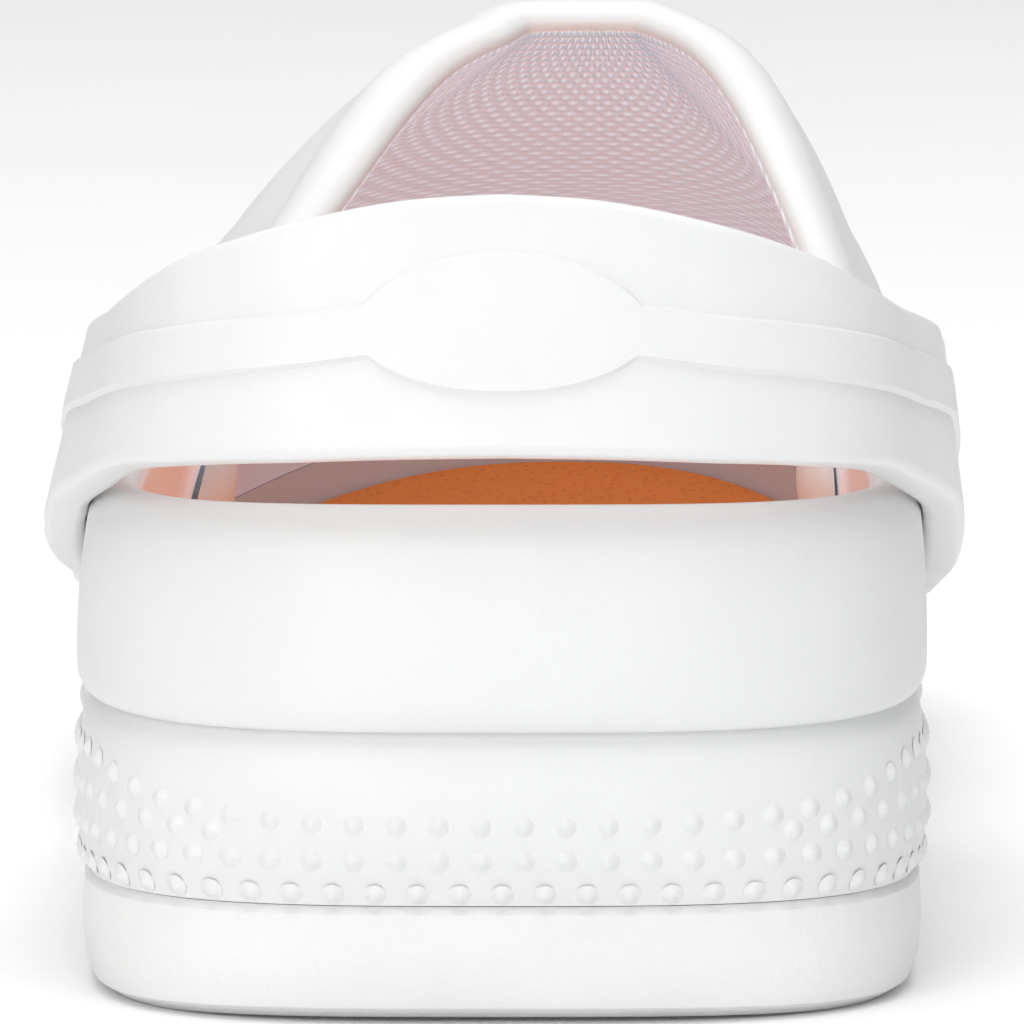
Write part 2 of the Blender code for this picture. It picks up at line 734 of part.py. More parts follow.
def strap_section(half, low, high, middle):
    """The strap's section as points across and out, with its raised band between low and high."""
    outer = STRAP_THICKNESS / 2
    raised = outer + STRAP_RAISE
    step = STRAP_RAISE * STRAP_STEP_SLOPE
    core = half - STRAP_EDGE
    wide = outer - STRAP_EDGE
    turns = quarter(EDGE_STEPS)[1:]
    corner = [(core + STRAP_EDGE * sine, wide + STRAP_EDGE * cosine) for sine, cosine in turns]
    right = corner + [(across, -out) for across, out in reversed(corner)]
    face = [(-core, outer), (low, outer), (low + step, raised), (middle, raised), (high - step, raised)]
    face += [(high, outer), (core, outer)]
    back = [(core, -outer), (middle, -outer), (-core, -outer)]
    left = [(-across, out) for across, out in reversed(right)]
    return face + right + back + left


def strap_pivot(seat):
    """The middle of the strap's thickness on the rivet's axis."""
    return seat.point + seat.axis * (seat.outer + GAP + STRAP_THICKNESS / 2)


def strap_line(seat):
    """The strap's middle from its back to its neck: points, distances along it and the table read there."""
    neck = strap_pivot(seat) + seat.back * STRAP_NECK
    back = Vector((0, y_of(0) + STRAP_BACK, PIVOT_HEIGHT + STRAP_RISE))
    station = np.linspace(0, 1, LINE_STEPS)
    read = {name: smooth(STRAP, name, station) for name in STRAP}
    miss = neck.x - seat.side * HEEL_WIDTH / 2 * read["side"][-1]
    place = np.column_stack([
        seat.side * HEEL_WIDTH / 2 * read["side"] + miss * read["turn"],
        back.y + (neck.y - back.y) * read["forward"],
        back.z + (neck.z - back.z) * read["drop"],
    ])
    run = np.concatenate([[0], np.cumsum(np.linalg.norm(np.diff(place, axis=0), axis=1))])
    return place, run, read


def strap_stations(run):
    """Distances along the strap's middle: close under the raised plate, then wider."""
    plate = np.linspace(0, STRAP_LENS[0] / 2 + STRAP_EDGE, PLATE_STEPS + 1)
    rest = np.linspace(plate[-1], run, SIDE_STEPS + 1)[1:]
    return np.concatenate([plate, rest])


def round_half(length, width, at):
    """Half the width of an oval at a distance from its middle."""
    return width / 2 * np.sqrt(np.clip(1 - (2 * at / length) ** 2, 0, 1))


def strap_frames(seat):
    """Frames of one half of the strap, back to neck: run, place, up, out, half width and band's middle."""
    place, run, read = strap_line(seat)
    along = np.gradient(place, axis=0)
    frames = []
    for at in strap_stations(run[-1]):
        here = Vector([np.interp(at, run, place[:, k]) for k in range(3)])
        forward = Vector([np.interp(at, run, along[:, k]) for k in range(3)]).normalized()
        out = Vector((forward.y, -forward.x, 0)).normalized() * seat.side
        up = Vector((0, 0, math.cos(STRAP_LEAN))) - out * math.sin(STRAP_LEAN)
        up = up.lerp(seat.up, np.interp(at, run, read["turn"]))
        up = (up - forward * up.dot(forward)).normalized()
        out = forward.cross(up) * seat.side
        half = STRAP_WIDTH / 2 * np.interp(at, run, read["width"])
        frames.append((at, here, up, out, half, half * np.interp(at, run, read["band"])))
    return frames


def wall_clearance(tree, frames):
    """How far each frame moves out so that the strap's inner face passes the wall with a GAP."""
    need = []
    for at, here, up, out, half, middle in frames:
        worst = 0
        for across in np.linspace(-half, half, FEELER_STEPS):
            spot = here + up * across - out * (STRAP_THICKNESS / 2 + GAP)
            hit = tree.ray_cast(spot + out * REACH, -out, REACH + 2 * WALL)[0]
            if hit is not None:
                worst = max(worst, (hit - spot).dot(out))
        need.append(worst)
    runs = np.array([frame[0] for frame in frames])
    fade = PUSH_FADE * np.abs(runs[:, None] - runs[None, :])
    return (np.array(need)[None, :] - fade).max(axis=1)


def strap_half(tree, seat):
    """Sections of one half of the strap, from its back to its rounded end."""
    pivot = strap_pivot(seat)
    pad = 2 * (STRAP_END_RADIUS - STRAP_END_BORDER)
    frames = strap_frames(seat)
    sections = []
    for (at, here, up, out, half, middle), push in zip(frames, wall_clearance(tree, frames)):
        band = max(STRAP_BAND / 2, float(round_half(*STRAP_LENS, at)))
        section = strap_section(half, middle - band, middle + band, middle)
        sections.append([here + up * across + out * (o + push) for across, o in section])
    for at in STRAP_NECK * (1 - np.arange(1, NECK_STEPS + 1) / (NECK_STEPS + 1)):
        band = max(STRAP_BAND / 2, float(round_half(pad, pad, at)))
        section = strap_section(STRAP_END_RADIUS, -band, band, 0)
        sections.append([pivot + seat.back * at + seat.up * a + seat.axis * o for a, o in section])
    for turn in np.linspace(0, math.pi / 2, END_STEPS + 1):
        section = strap_section(STRAP_END_RADIUS, -pad / 2, pad / 2, 0)
        ahead = -seat.back * math.sin(turn)
        sections.append([
            pivot + ahead * abs(a) + seat.up * a * math.cos(turn) + seat.axis * o for a, o in section
        ])
    return sections


def strap_shape(tree, seats):
    """Points and faces of the strap, swept from the lateral rivet round the heel to the medial one."""
    lateral, medial = (strap_half(tree, seat) for seat in seats)
    sections = lateral[::-1] + medial[1:]
    points = [p for section in sections for p in section]
    faces = ring_faces(len(sections), len(sections[0]), False)
    shape = bmesh.new()
    spots = [shape.verts.new(p) for p in points]
    for face in faces:
        shape.faces.new([spots[k] for k in face])
    bmesh.ops.remove_doubles(shape, verts=shape.verts, dist=MERGE_DISTANCE)
    bmesh.ops.dissolve_degenerate(shape, edges=shape.edges, dist=MERGE_DISTANCE / 2)
    bmesh.ops.recalc_face_normals(shape, faces=shape.faces)
    shape.verts.index_update()
    points = [tuple(v.co) for v in shape.verts]
    faces = [tuple(v.index for v in f.verts) for f in shape.faces]
    shape.free()
    return points, faces


def build_clog():
    for old in list(bpy.data.objects):
        bpy.data.objects.remove(old, do_unlink=True)
    plan = Plan(RIBS_A_SIDE)
    build_outsole(plan)
    build_midsole(plan)
    build_insole(plan)
    upper, tree = build_upper(plan)
    seats = [Seat(tree, LATERAL), Seat(tree, MEDIAL)]
    strap = mesh_object("strap", *strap_shape(tree, seats), FOAM_LOOK)
    for seat, name in zip(seats, ("lateral", "medial")):
        build_rivet(seat, "rivet_" + name)
        build_cap(seat, "rivet_cap_" + name)
        mesh = rod_mesh("bore_" + name, SHANK_RADIUS + GAP, BORE_LENGTH)
        half_side = Matrix.Rotation(math.pi / ROUND_SIDES, 4, "Z")
        tool = cutter("bore_" + name, mesh, seat.matrix() @ half_side)
        cut(upper, tool)
        cut(strap, tool)


build_clog()
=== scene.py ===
"""The looks of a left chef clog of moulded white foam, seen from behind.

The shapes are the clog's own, made finer: X points to the medial side, Y from the heel to the toe, Z up.
A share is a share of LENGTH, 0 at the heel's back and 1 at the toe's tip.
"""

import math
from functools import partial

import bmesh
import bpy
import numpy as np
from mathutils import Matrix, Vector
from mathutils.bvhtree import BVHTree


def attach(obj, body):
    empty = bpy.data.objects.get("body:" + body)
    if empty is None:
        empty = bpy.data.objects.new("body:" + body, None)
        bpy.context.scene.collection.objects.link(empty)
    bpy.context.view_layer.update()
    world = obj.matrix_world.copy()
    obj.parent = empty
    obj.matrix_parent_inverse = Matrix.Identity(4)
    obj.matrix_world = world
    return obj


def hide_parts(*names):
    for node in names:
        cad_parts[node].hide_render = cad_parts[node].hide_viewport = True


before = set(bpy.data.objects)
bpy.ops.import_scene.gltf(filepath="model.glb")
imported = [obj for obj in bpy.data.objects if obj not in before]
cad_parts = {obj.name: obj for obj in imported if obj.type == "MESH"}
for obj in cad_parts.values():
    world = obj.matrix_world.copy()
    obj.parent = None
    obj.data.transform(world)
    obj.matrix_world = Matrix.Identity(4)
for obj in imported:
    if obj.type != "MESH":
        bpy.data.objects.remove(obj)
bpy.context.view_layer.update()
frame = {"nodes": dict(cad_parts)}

MM = 0.001

# Size of the shoe
LENGTH = 284 * MM
BALL_WIDTH = 100.5 * MM
HEEL_WIDTH = 88 * MM
INSTEP_HEIGHT = 98 * MM  # top of the vamp where the collar meets it
RIM_HEIGHT = 53 * MM  # collar at the back of the heel
GAP = 0.12 * MM  # between pieces that touch, less than the solids' so that the joints look closed

# Sole
SEAM_HEIGHT = 12 * MM  # top of the outsole at the heel
LEDGE_HEIGHT = 29.5 * MM  # top of the midsole's side at the heel
FLOOR_HEIGHT = 24 * MM  # top of the midsole under the heel
TOE_SPRING = 13 * MM
TOE_SPRING_START = 0.70
HEEL_BEVEL = 0.8 * MM
HEEL_BEVEL_END = 0.07
ARCH_LIFT = 2 * MM
ARCH_SPAN = (0.34, 0.56)
GROOVE_WIDTH = 3.2 * MM
GROOVE_DEPTH = 2.6 * MM
GROOVE_PITCH = 10 * MM
GROOVE_MARGIN = 8 * MM
CENTRE_GROOVE = 3.2 * MM
HEEL_TREAD = (0.075, 0.31)
BALL_TREAD = (0.53, 0.90)

# Insole
INSOLE_THICKNESS = 3.6 * MM
INSOLE_EDGE_ROUND = 1.2 * MM
INSOLE_PLAY = 0.5 * MM

# Upper
WALL = 5 * MM
FOOT_INSET = 5.6 * MM  # from the plan to the wall's inner face at its foot
TUCK_RUN = 1.3 * MM
TUCK_RISE = 2.6 * MM
RIM_OUTER_RUN = 3.3 * MM
RIM_OUTER_RISE = 5.5 * MM
RIM_INNER_RISE = 2.4 * MM
CREST = 0.03  # how far the arch falls away beside the ridge, as a share of its height
CREST_WAY = 0.40  # how soon it does, as a share of a rib

# Strap and rivets
STRAP_WIDTH = 26.2 * MM  # at the back
STRAP_THICKNESS = 4.4 * MM
STRAP_EDGE = 1.2 * MM
STRAP_RAISE = 0.6 * MM
STRAP_STEP_SLOPE = 0.7  # run of the raised band's edge for each unit that it rises
STRAP_BACK = 1.6 * MM  # from the heel's back to the middle of the strap's thickness
STRAP_LEAN = math.radians(12)  # how far its top leans in at the back
STRAP_RISE = 25.7 * MM  # from the pivots up to the strap's middle at the back
STRAP_END_RADIUS = 13 * MM
STRAP_END_BORDER = 4 * MM  # round the raised pad under the rivet's button
PIVOT_FROM_HEEL = 103 * MM
PIVOT_HEIGHT = 44.5 * MM
PIVOT_SLOPE = math.radians(9)
SHANK_RADIUS = 3 * MM
BUTTON_RADIUS = 7.5 * MM
BUTTON_HEIGHT = 2.6 * MM
CAP_RADIUS = 7 * MM
CAP_HEIGHT = 4 * MM
RIVET_EDGE = 0.8 * MM  # height of the side under each dome

# Mesh density
RIBS_A_SIDE = 150
OUTER_STEPS = 56
INNER_STEPS = 36
EDGE_STEPS = 6
ROUND_SIDES = 72
DOME_STEPS = 12
COLUMNS = 40
PLATE_STEPS = 36
SIDE_STEPS = 60
END_STEPS = 24
NECK_STEPS = 2

# Fineness of the curves that the meshes are read from
FINE_STEPS = 3000
RIB_STEPS = 160
LINE_STEPS = 200
HALVING_STEPS = 40
FOOT_CROWDING = 1.7  # more puts a rib's points closer together at its foot
SHARP_ANGLE = math.radians(35)
MERGE_DISTANCE = 0.02 * MM
FEELER_STEPS = 7  # points across the strap that look for the wall
REACH = 20 * MM  # how far off the wall a ray starts
BORE_LENGTH = 60 * MM

# The origin lies midway between the toe's tip and the strap's back, which overhangs the heel
STRAP_TILT_OUT = (STRAP_WIDTH / 2 - STRAP_EDGE) * math.sin(STRAP_LEAN)
STRAP_OVERHANG = STRAP_THICKNESS / 2 * math.cos(STRAP_LEAN) + STRAP_TILT_OUT - STRAP_BACK
ORIGIN_FROM_HEEL = (LENGTH - STRAP_OVERHANG) / 2

LATERAL = -1
MEDIAL = 1


def table(columns, *rows):
    """A table as one array for each named column."""
    return {name: np.array(values, float) for name, values in zip(columns.split(), zip(*rows))}


# Plan of the wall: toward_ball is 0 at the heel's width and 1 at the ball's, centre a share of BALL_WIDTH
PLAN = table(
    "share toward_ball centre",
    (0.00, 0.00, 0.000),
    (0.15, 0.00, 0.000),
    (0.36, -0.42, 0.008),
    (0.50, 0.40, -0.004),
    (0.66, 1.00, 0.000),
    (0.80, 0.98, 0.018),
    (0.90, 0.88, 0.050),
    (1.00, 0.75, 0.080),
)
HEEL_SQUARE = 3.2
TOE_SQUARE = 2.3
TOE_ROUND = 0.27

# Levels above the toe spring, as shares of SEAM_HEIGHT, LEDGE_HEIGHT, FLOOR_HEIGHT and INSTEP_HEIGHT
LEVELS = table(
    "share seam ledge floor ridge",
    (0.00, 1.00, 1.00, 1.00, 0.88),
    (0.15, 0.99, 1.05, 0.98, 0.95),
    (0.30, 0.95, 1.06, 0.91, 0.995),
    (0.42, 0.90, 1.02, 0.82, 1.010),
    (0.50, 0.84, 0.96, 0.73, 0.955),
    (0.60, 0.79, 0.88, 0.64, 0.875),
    (0.70, 0.75, 0.82, 0.60, 0.805),
    (0.80, 0.74, 0.79, 0.59, 0.745),
    (0.90, 0.74, 0.77, 0.59, 0.680),
    (1.00, 0.74, 0.77, 0.59, 0.600),
)
LEVEL_SIZES = {"seam": SEAM_HEIGHT, "ledge": LEDGE_HEIGHT, "floor": FLOOR_HEIGHT, "ridge": INSTEP_HEIGHT}

# Roundness of the upper's sections on each side: 2 is an ellipse, more is squarer
SECTIONS = table(
    "share lateral medial",
    (0.00, 2.30, 2.30),
    (0.15, 2.10, 2.40),
    (0.30, 1.64, 2.20),
    (0.45, 1.72, 2.20),
    (0.60, 1.72, 2.15),
    (0.72, 2.00, 2.35),
    (0.85, 2.70, 2.90),
    (1.00, 3.60, 3.60),
)

# Top line of the upper across its width, as a share of BALL_WIDTH
SPINE = table(
    "share centre",
    (0.00, 0.000),
    (0.16, 0.010),
    (0.30, 0.100),
    (0.45, 0.104),
    (1.00, 0.085),
)
SPINE_BACK = 0.20  # ribs of the heel fan out from here
SPINE_FRONT = 0.40  # ribs of the vamp fan out from here
RIB_SPAN = (0.13, 0.45)  # plan shares whose ribs start between those two

# Side view of the collar: rise is 0 at RIM_HEIGHT and 1 at INSTEP_HEIGHT
COLLAR = table(
    "share rise",
    (0.000, 0.00),
    (0.120, -0.01),
    (0.200, 0.05),
    (0.270, 0.24),
    (0.340, 0.53),
    (0.400, 0.775),
    (0.435, 0.93),
    (0.465, 1.02),
    (0.500, 1.40),
    (1.000, 4.00),
)

# Side of the midsole: height from the seam (0) to the ledge (1), and how far it stands out from the plan
MIDSOLE_SIDE = table(
    "height out",
    (0.00, -1.1 * MM),
    (0.10, -0.3 * MM),
    (0.35, 0.0 * MM),
    (0.65, -0.1 * MM),
    (0.88, -0.7 * MM),
    (1.00, -2.1 * MM),
)

# Side of the outsole: height from its bottom (0) to the seam (1), and how far it stands out from the plan
OUTSOLE_SIDE = table(
    "height out",
    (0.00, -3.2 * MM),
    (0.09, -1.5 * MM),
    (0.28, -0.7 * MM),
    (0.60, -0.5 * MM),
    (0.93, -0.7 * MM),
    (1.00, -1.4 * MM),
)

# Strap from the back (0) to the neck before the rivet (1): forward and drop are shares of the way there,
# side a share of half of HEEL_WIDTH, turn how far it has taken on the wall's place and lean, width a share
# of STRAP_WIDTH, and band how far the raised band lies above the middle, as a share of half its width
STRAP = table(
    "station forward side drop turn width band",
    (0.00, 0.000, 0.000, 0.00, 0.00, 1.000, 0.00),
    (0.05, 0.001, 0.145, 0.01, 0.00, 0.990, 0.00),
    (0.16, 0.012, 0.450, 0.08, 0.00, 0.910, 0.00),
    (0.27, 0.065, 0.690, 0.18, 0.00, 0.800, 0.06),
    (0.40, 0.190, 0.870, 0.33, 0.15, 0.690, 0.16),
    (0.58, 0.420, 0.985, 0.57, 0.50, 0.750, 0.24),
    (0.80, 0.730, 1.020, 0.86, 0.95, 0.920, 0.12),
    (1.00, 1.000, 1.035, 1.00, 1.00, 1.000, 0.00),
)
STRAP_NECK = 20 * MM  # from the pivot back to the neck
PUSH_FADE = 0.12  # slope at which the strap closes in again after passing the wall
STRAP_BAND = 5.6 * MM  # width of the strap's raised band
STRAP_LENS = (29 * MM, 14.4 * MM)  # length and width of the raised plate at the back


def smooth(rows, column, at):
    """Reads a table's column on a smooth curve through its rows that never overshoots them."""
    x = next(iter(rows.values()))
    y = rows[column]
    at = np.clip(np.asarray(at, float), x[0], x[-1])
    step = np.diff(x)
    slope = np.diff(y) / step
    tangent = np.zeros_like(y)
    same_way = slope[:-1] * slope[1:] > 0
    before = 2 * step[1:] + step[:-1]
    after = step[1:] + 2 * step[:-1]
    one = np.where(same_way, slope[:-1], 1)
    other = np.where(same_way, slope[1:], 1)
    mean = (before + after) / (before / one + after / other)
    tangent[1:-1] = np.where(same_way, mean, 0)
    tangent[0] = slope[0]
    tangent[-1] = slope[-1]
    i = np.clip(np.searchsorted(x, at, side="right") - 1, 0, len(x) - 2)
    t = (at - x[i]) / step[i]
    return (
        (2 * t**3 - 3 * t**2 + 1) * y[i]
        + (t**3 - 2 * t**2 + t) * step[i] * tangent[i]
        + (3 * t**2 - 2 * t**3) * y[i + 1]
        + (t**3 - t**2) * step[i] * tangent[i + 1]
    )


def ease(value):
    """A step from 0 to 1 with soft ends."""
    value = np.clip(value, 0, 1)
    return value * value * (3 - 2 * value)


def run_along(points):
    """Distances along a line of points, from its first."""
    return np.concatenate([[0], np.cumsum(np.linalg.norm(np.diff(points, axis=0), axis=1))])


def read_at(values, run, at):
    """Reads rows of three values, given along a run, at other distances."""
    return np.stack([np.interp(at, run, column) for column in values.T], -1)


def unit(vectors):
    """Vectors made one long."""
    return vectors / np.linalg.norm(vectors, axis=-1)[..., None]


def y_of(share):
    return share * LENGTH - ORIGIN_FROM_HEEL


def share_of(y):
    return np.clip((y + ORIGIN_FROM_HEEL) / LENGTH, 0, 1)


def toe_lift(share):
    """How far every layer of the sole rises towards the toe."""
    return TOE_SPRING * np.clip((share - TOE_SPRING_START) / (1 - TOE_SPRING_START), 0, 1) ** 2


def level(name, y):
    """Height of the seam, ledge, floor or ridge at a place along the shoe."""
    share = share_of(y)
    return toe_lift(share) + smooth(LEVELS, name, share) * LEVEL_SIZES[name]


SEAM_LEVEL = partial(level, "seam")
LEDGE_LEVEL = partial(level, "ledge")
FLOOR_LEVEL = partial(level, "floor")


def sole_bottom(y):
    """Underside of the outsole: flat under the heel and the ball, raised between them and at both ends."""
    share = share_of(y)
    bevel = HEEL_BEVEL * np.clip(1 - share / HEEL_BEVEL_END, 0, 1) ** 2
    arch = np.clip((share - ARCH_SPAN[0]) / (ARCH_SPAN[1] - ARCH_SPAN[0]), 0, 1)
    return toe_lift(share) + bevel + ARCH_LIFT * np.sin(np.pi * arch) ** 2


def plan_side(share, side):
    """The plan's point at a share of the length, on one side."""
    half = (HEEL_WIDTH + (BALL_WIDTH - HEEL_WIDTH) * smooth(PLAN, "toward_ball", share)) / 2
    heel_round = HEEL_WIDTH / 2 / LENGTH
    heel = np.clip(1 - share / heel_round, 0, 1)
    toe = np.clip(1 - (1 - share) / TOE_ROUND, 0, 1)
    half = half * (1 - heel**HEEL_SQUARE) ** (1 / HEEL_SQUARE) * (1 - toe**TOE_SQUARE) ** (1 / TOE_SQUARE)
    return np.stack([smooth(PLAN, "centre", share) * BALL_WIDTH + side * half, y_of(share)], -1)


def plan_shares(count):
    """Shares of the length, heel to toe, spaced evenly round the plan."""
    share = (1 - np.cos(np.linspace(0, np.pi, FINE_STEPS))) / 2
    half = (plan_side(share, MEDIAL) - plan_side(share, LATERAL))[:, 0] / 2
    run = np.concatenate([[0], np.cumsum(np.hypot(np.diff(half), np.diff(y_of(share))))])
    return np.interp(np.linspace(0, run[-1], count + 1), run, share)


class Plan:
    """The plan as a ring of points: the heel's back, the lateral side, the toe's tip, the medial side."""

    def __init__(self, ribs_a_side):
        shares = plan_shares(ribs_a_side)
        back = shares[-2:0:-1]
        self.share = np.concatenate([shares, back])
        self.side = np.concatenate([np.full(len(shares), LATERAL), np.full(len(back), MEDIAL)])
        self.point = np.concatenate([plan_side(shares, LATERAL), plan_side(back, MEDIAL)])
        along = np.roll(self.point, -1, 0) - np.roll(self.point, 1, 0)
        self.normal = unit(np.stack([-along[:, 1], along[:, 0]], -1))

    def ring(self, out, height):
        """The plan moved out by a distance, at a height that depends on where along the shoe it is."""
        flat = self.point + self.normal * out
        return np.column_stack([flat, height(flat[:, 1])])


class Last:
    """The upper's outer form, closed over the collar: an arch over the plan along a rib for each point."""

    def __init__(self, plan):
        start = ease((plan.share - RIB_SPAN[0]) / (RIB_SPAN[1] - RIB_SPAN[0]))
        start = SPINE_BACK + (SPINE_FRONT - SPINE_BACK) * start
        self.inner = np.stack([smooth(SPINE, "centre", start) * BALL_WIDTH, y_of(start)], -1)
        self.outer = plan.point
        self.foot = level("ledge", plan.point[:, 1]) + TUCK_RISE
        lateral = smooth(SECTIONS, "lateral", plan.share)
        medial = smooth(SECTIONS, "medial", plan.share)
        self.power = np.where(plan.side == LATERAL, lateral, medial)

    def at(self, way):
        """Points a way out along each rib, from 0 on the spine to 1 on the plan."""
        flat = self.inner[:, None] + way[..., None] * (self.outer - self.inner)[:, None]
        foot = self.foot[:, None]
        power = self.power[:, None]
        bulge = np.clip(1 - way**power, 0, 1) ** (1 / power)
        bulge = bulge * (1 - CREST * (1 - np.exp(-((way / CREST_WAY) ** 2))))
        height = foot + (level("ridge", flat[..., 1]) - foot) * bulge
        return np.concatenate([flat, height[..., None]], -1)

    def collar_way(self):
        """How far out along each rib the collar is, found by halving."""
        near = np.zeros((len(self.outer), 1))
        far = np.ones((len(self.outer), 1))
        for _ in range(HALVING_STEPS):
            middle = (near + far) / 2
            point = self.at(middle)
            rise = smooth(COLLAR, "rise", share_of(point[..., 1]))
            above = point[..., 2] > RIM_HEIGHT + (INSTEP_HEIGHT - RIM_HEIGHT) * rise
            near = np.where(above, middle, near)
            far = np.where(above, far, middle)
        return far

    def ribs(self):
        """Dense ribs from the collar to the foot: points, outward normals and distance from the collar."""
        way = self.collar_way()
        point = self.at(way + (1 - way) * (1 - (1 - np.linspace(0, 1, RIB_STEPS)) ** 3))
        around = np.roll(point, -1, 0) - np.roll(point, 1, 0)
        down = np.gradient(point, axis=1)
        normal = unit(np.cross(around, down))
        run = np.cumsum(np.linalg.norm(np.diff(point, axis=1, prepend=point[:, :1]), axis=2), axis=1)
        return point, normal, run


def read_along(values, run, at):
    """Reads values given along each rib at other distances from the collar."""
    return np.array([read_at(v, r, a) for v, r, a in zip(values, run, at)])


def quarter(steps):
    """Sine and cosine at the inner points of a quarter turn."""
    angle = np.linspace(0, np.pi / 2, steps + 1)
    return list(zip(np.sin(angle), np.cos(angle)))


def spread(share):
    """Shares of a rib from the rim (0) to the foot (1), closer together towards the foot."""
    return 1 - (1 - share) ** FOOT_CROWDING


def upper_rings(plan):
    """The upper's wall as rings: up the outside from its foot, over the rim and down the inside."""
    point, normal, run = Last(plan).ribs()
    length = run[:, -1:]
    down = unit(np.gradient(point, axis=1)[:, 0])
    edge = point[:, 0]
    face = normal[:, 0]
    rings = []
    for sine, cosine in quarter(EDGE_STEPS)[:-1]:
        tucked = plan.ring(-TUCK_RUN * (1 - sine), LEDGE_LEVEL)
        tucked[:, 2] = level("ledge", plan.point[:, 1]) + TUCK_RISE * (1 - cosine)
        rings.append(tucked)
    outer = RIM_OUTER_RISE + (length - RIM_OUTER_RISE) * spread(np.linspace(1, 0, OUTER_STEPS))
    rings += list(np.moveaxis(read_along(point, run, outer), 1, 0))
    for sine, cosine in quarter(EDGE_STEPS)[1:]:
        rings.append(edge + down * RIM_OUTER_RISE * (1 - sine) - face * RIM_OUTER_RUN * (1 - cosine))
    for sine, cosine in quarter(EDGE_STEPS)[1:-1]:
        inward = RIM_OUTER_RUN + (WALL - RIM_OUTER_RUN) * sine
        rings.append(edge + down * RIM_INNER_RISE * (1 - cosine) - face * inward)
    inner = RIM_INNER_RISE + (length - RIM_INNER_RISE) * spread(np.linspace(0, 1, INNER_STEPS))
    rings += list(np.moveaxis(read_along(point, run, inner) - WALL * read_along(normal, run, inner), 1, 0))
    rings.append(plan.ring(-FOOT_INSET, LEDGE_LEVEL))
    return rings


def inside_out(points, faces):
    """Whether the faces of a closed shape turn inwards."""
    volume = 0
    for face in faces:
        first, *rest = (Vector(points[k]) for k in face)
        volume += sum(first.dot(one.cross(other)) for one, other in zip(rest, rest[1:]))
    return volume < 0


def ring_faces(rings, size, closed):
    """Quads between neighbouring rings of a size, and between the last and the first if closed."""
    faces = []
    for r in range(rings if closed else rings - 1):
        here = r * size
        there = (r + 1) % rings * size
        for k in range(size):
            after = (k + 1) % size
            faces.append((here + k, here + after, there + after, there + k))
    return faces


def ladder(points, first, size, height):
    """Faces that close a ring with rungs across the shoe, whose added points lie at a given height."""
    half = size // 2
    rows = [[first]]
    for i in range(1, half):
        lateral = np.array(points[first + i])
        medial = np.array(points[first + size - i])
        row = [first + i]
        for c in range(1, COLUMNS):
            between = lateral + (medial - lateral) * c / COLUMNS
            points.append((between[0], between[1], float(height(between[1]))))
            row.append(len(points) - 1)
        rows.append(row + [first + size - i])
    rows.append([first + half])
    made = []
    for one, other in zip(rows, rows[1:]):
        if len(one) == 1:
            made += [(one[0], b, a) for a, b in zip(other, other[1:])]
        elif len(other) == 1:
            made += [(a, b, other[0]) for a, b in zip(one, one[1:])]
        else:
            made += [(one[k], one[k + 1], other[k + 1], other[k]) for k in range(len(one) - 1)]
    return made


def layered(rings, bottom, top):
    """Points and faces of rings stacked from the bottom up, closed by a ladder at each end."""
    size = len(rings[0])
    points = [tuple(p) for ring in rings for p in ring]
    faces = ring_faces(len(rings), size, False)
    faces += ladder(points, 0, size, bottom)
    faces += [f[::-1] for f in ladder(points, (len(rings) - 1) * size, size, top)]
    return points, faces


def outsole_rings(plan):
    """The outsole's side, bottom first."""
    rings = []
    for height, out in zip(OUTSOLE_SIDE["height"], OUTSOLE_SIDE["out"]):
        rings.append(plan.ring(out, lambda y: (1 - height) * sole_bottom(y) + height * level("seam", y)))
    return rings


def baked(name, shape):
    """A mesh made of a finished bmesh."""
    made = bpy.data.meshes.new(name)
    shape.to_mesh(made)
    shape.free()
    return made


def box_mesh(name, boxes):
    """One mesh of separate boxes, each given by its lowest corner, its highest corner and its pitch."""
    shape = bmesh.new()
    for low, high, pitch in boxes:
        size = Matrix.Diagonal([*(b - a for a, b in zip(low, high)), 1])
        middle = Matrix.Translation([(a + b) / 2 for a, b in zip(low, high)])
        bmesh.ops.create_cube(shape, size=1, matrix=middle @ Matrix.Rotation(pitch, 4, "X") @ size)
    return baked(name, shape)


def rod_mesh(name, radius, length):
    """A round rod along Z, centred on the origin."""
    shape = bmesh.new()
    bmesh.ops.create_cone(
        shape, cap_ends=True, segments=ROUND_SIDES, radius1=radius, radius2=radius, depth=length
    )
    return baked(name, shape)


def groove_box(share, half_length, left, right):
    """A groove's box from left to right, as deep as GROOVE_DEPTH wherever the underside is."""
    y = y_of(share)
    rise = float(sole_bottom(y))
    slope = float(sole_bottom(y + half_length) - sole_bottom(y - half_length)) / (2 * half_length)
    low = (left, y - half_length, rise - GROOVE_DEPTH)
    high = (right, y + half_length, rise + GROOVE_DEPTH)
    return low, high, math.atan(slope)


def cross_grooves():
    """Grooves across the heel and the ball that leave a plain border."""
    boxes = []
    for start, end in (HEEL_TREAD, BALL_TREAD):
        count = max(2, round((end - start) * LENGTH / GROOVE_PITCH))
        for share in np.linspace(start, end, count + 1):
            edge = [plan_side(np.array(share), side)[0] for side in (LATERAL, MEDIAL)]
            left = edge[0] + GROOVE_MARGIN
            right = edge[1] - GROOVE_MARGIN
            boxes.append(groove_box(share, GROOVE_WIDTH / 2, left, right))
    return boxes


def long_grooves():
    """A groove along the middle of the heel's tread, and of the ball's up to where the toe rises."""
    boxes = []
    for start, end in (HEEL_TREAD, (BALL_TREAD[0], TOE_SPRING_START)):
        middle = float(smooth(PLAN, "centre", (start + end) / 2)) * BALL_WIDTH
        half = (end - start) * LENGTH / 2
        side = CENTRE_GROOVE / 2
        boxes.append(groove_box((start + end) / 2, half, middle - side, middle + side))
    return boxes


def midsole_height(height, y):
    """A place on the midsole's side, from just above the outsole (0) to just under the upper (1)."""
    low = level("seam", y) + GAP
    high = level("ledge", y) - GAP
    return low + height * (high - low)


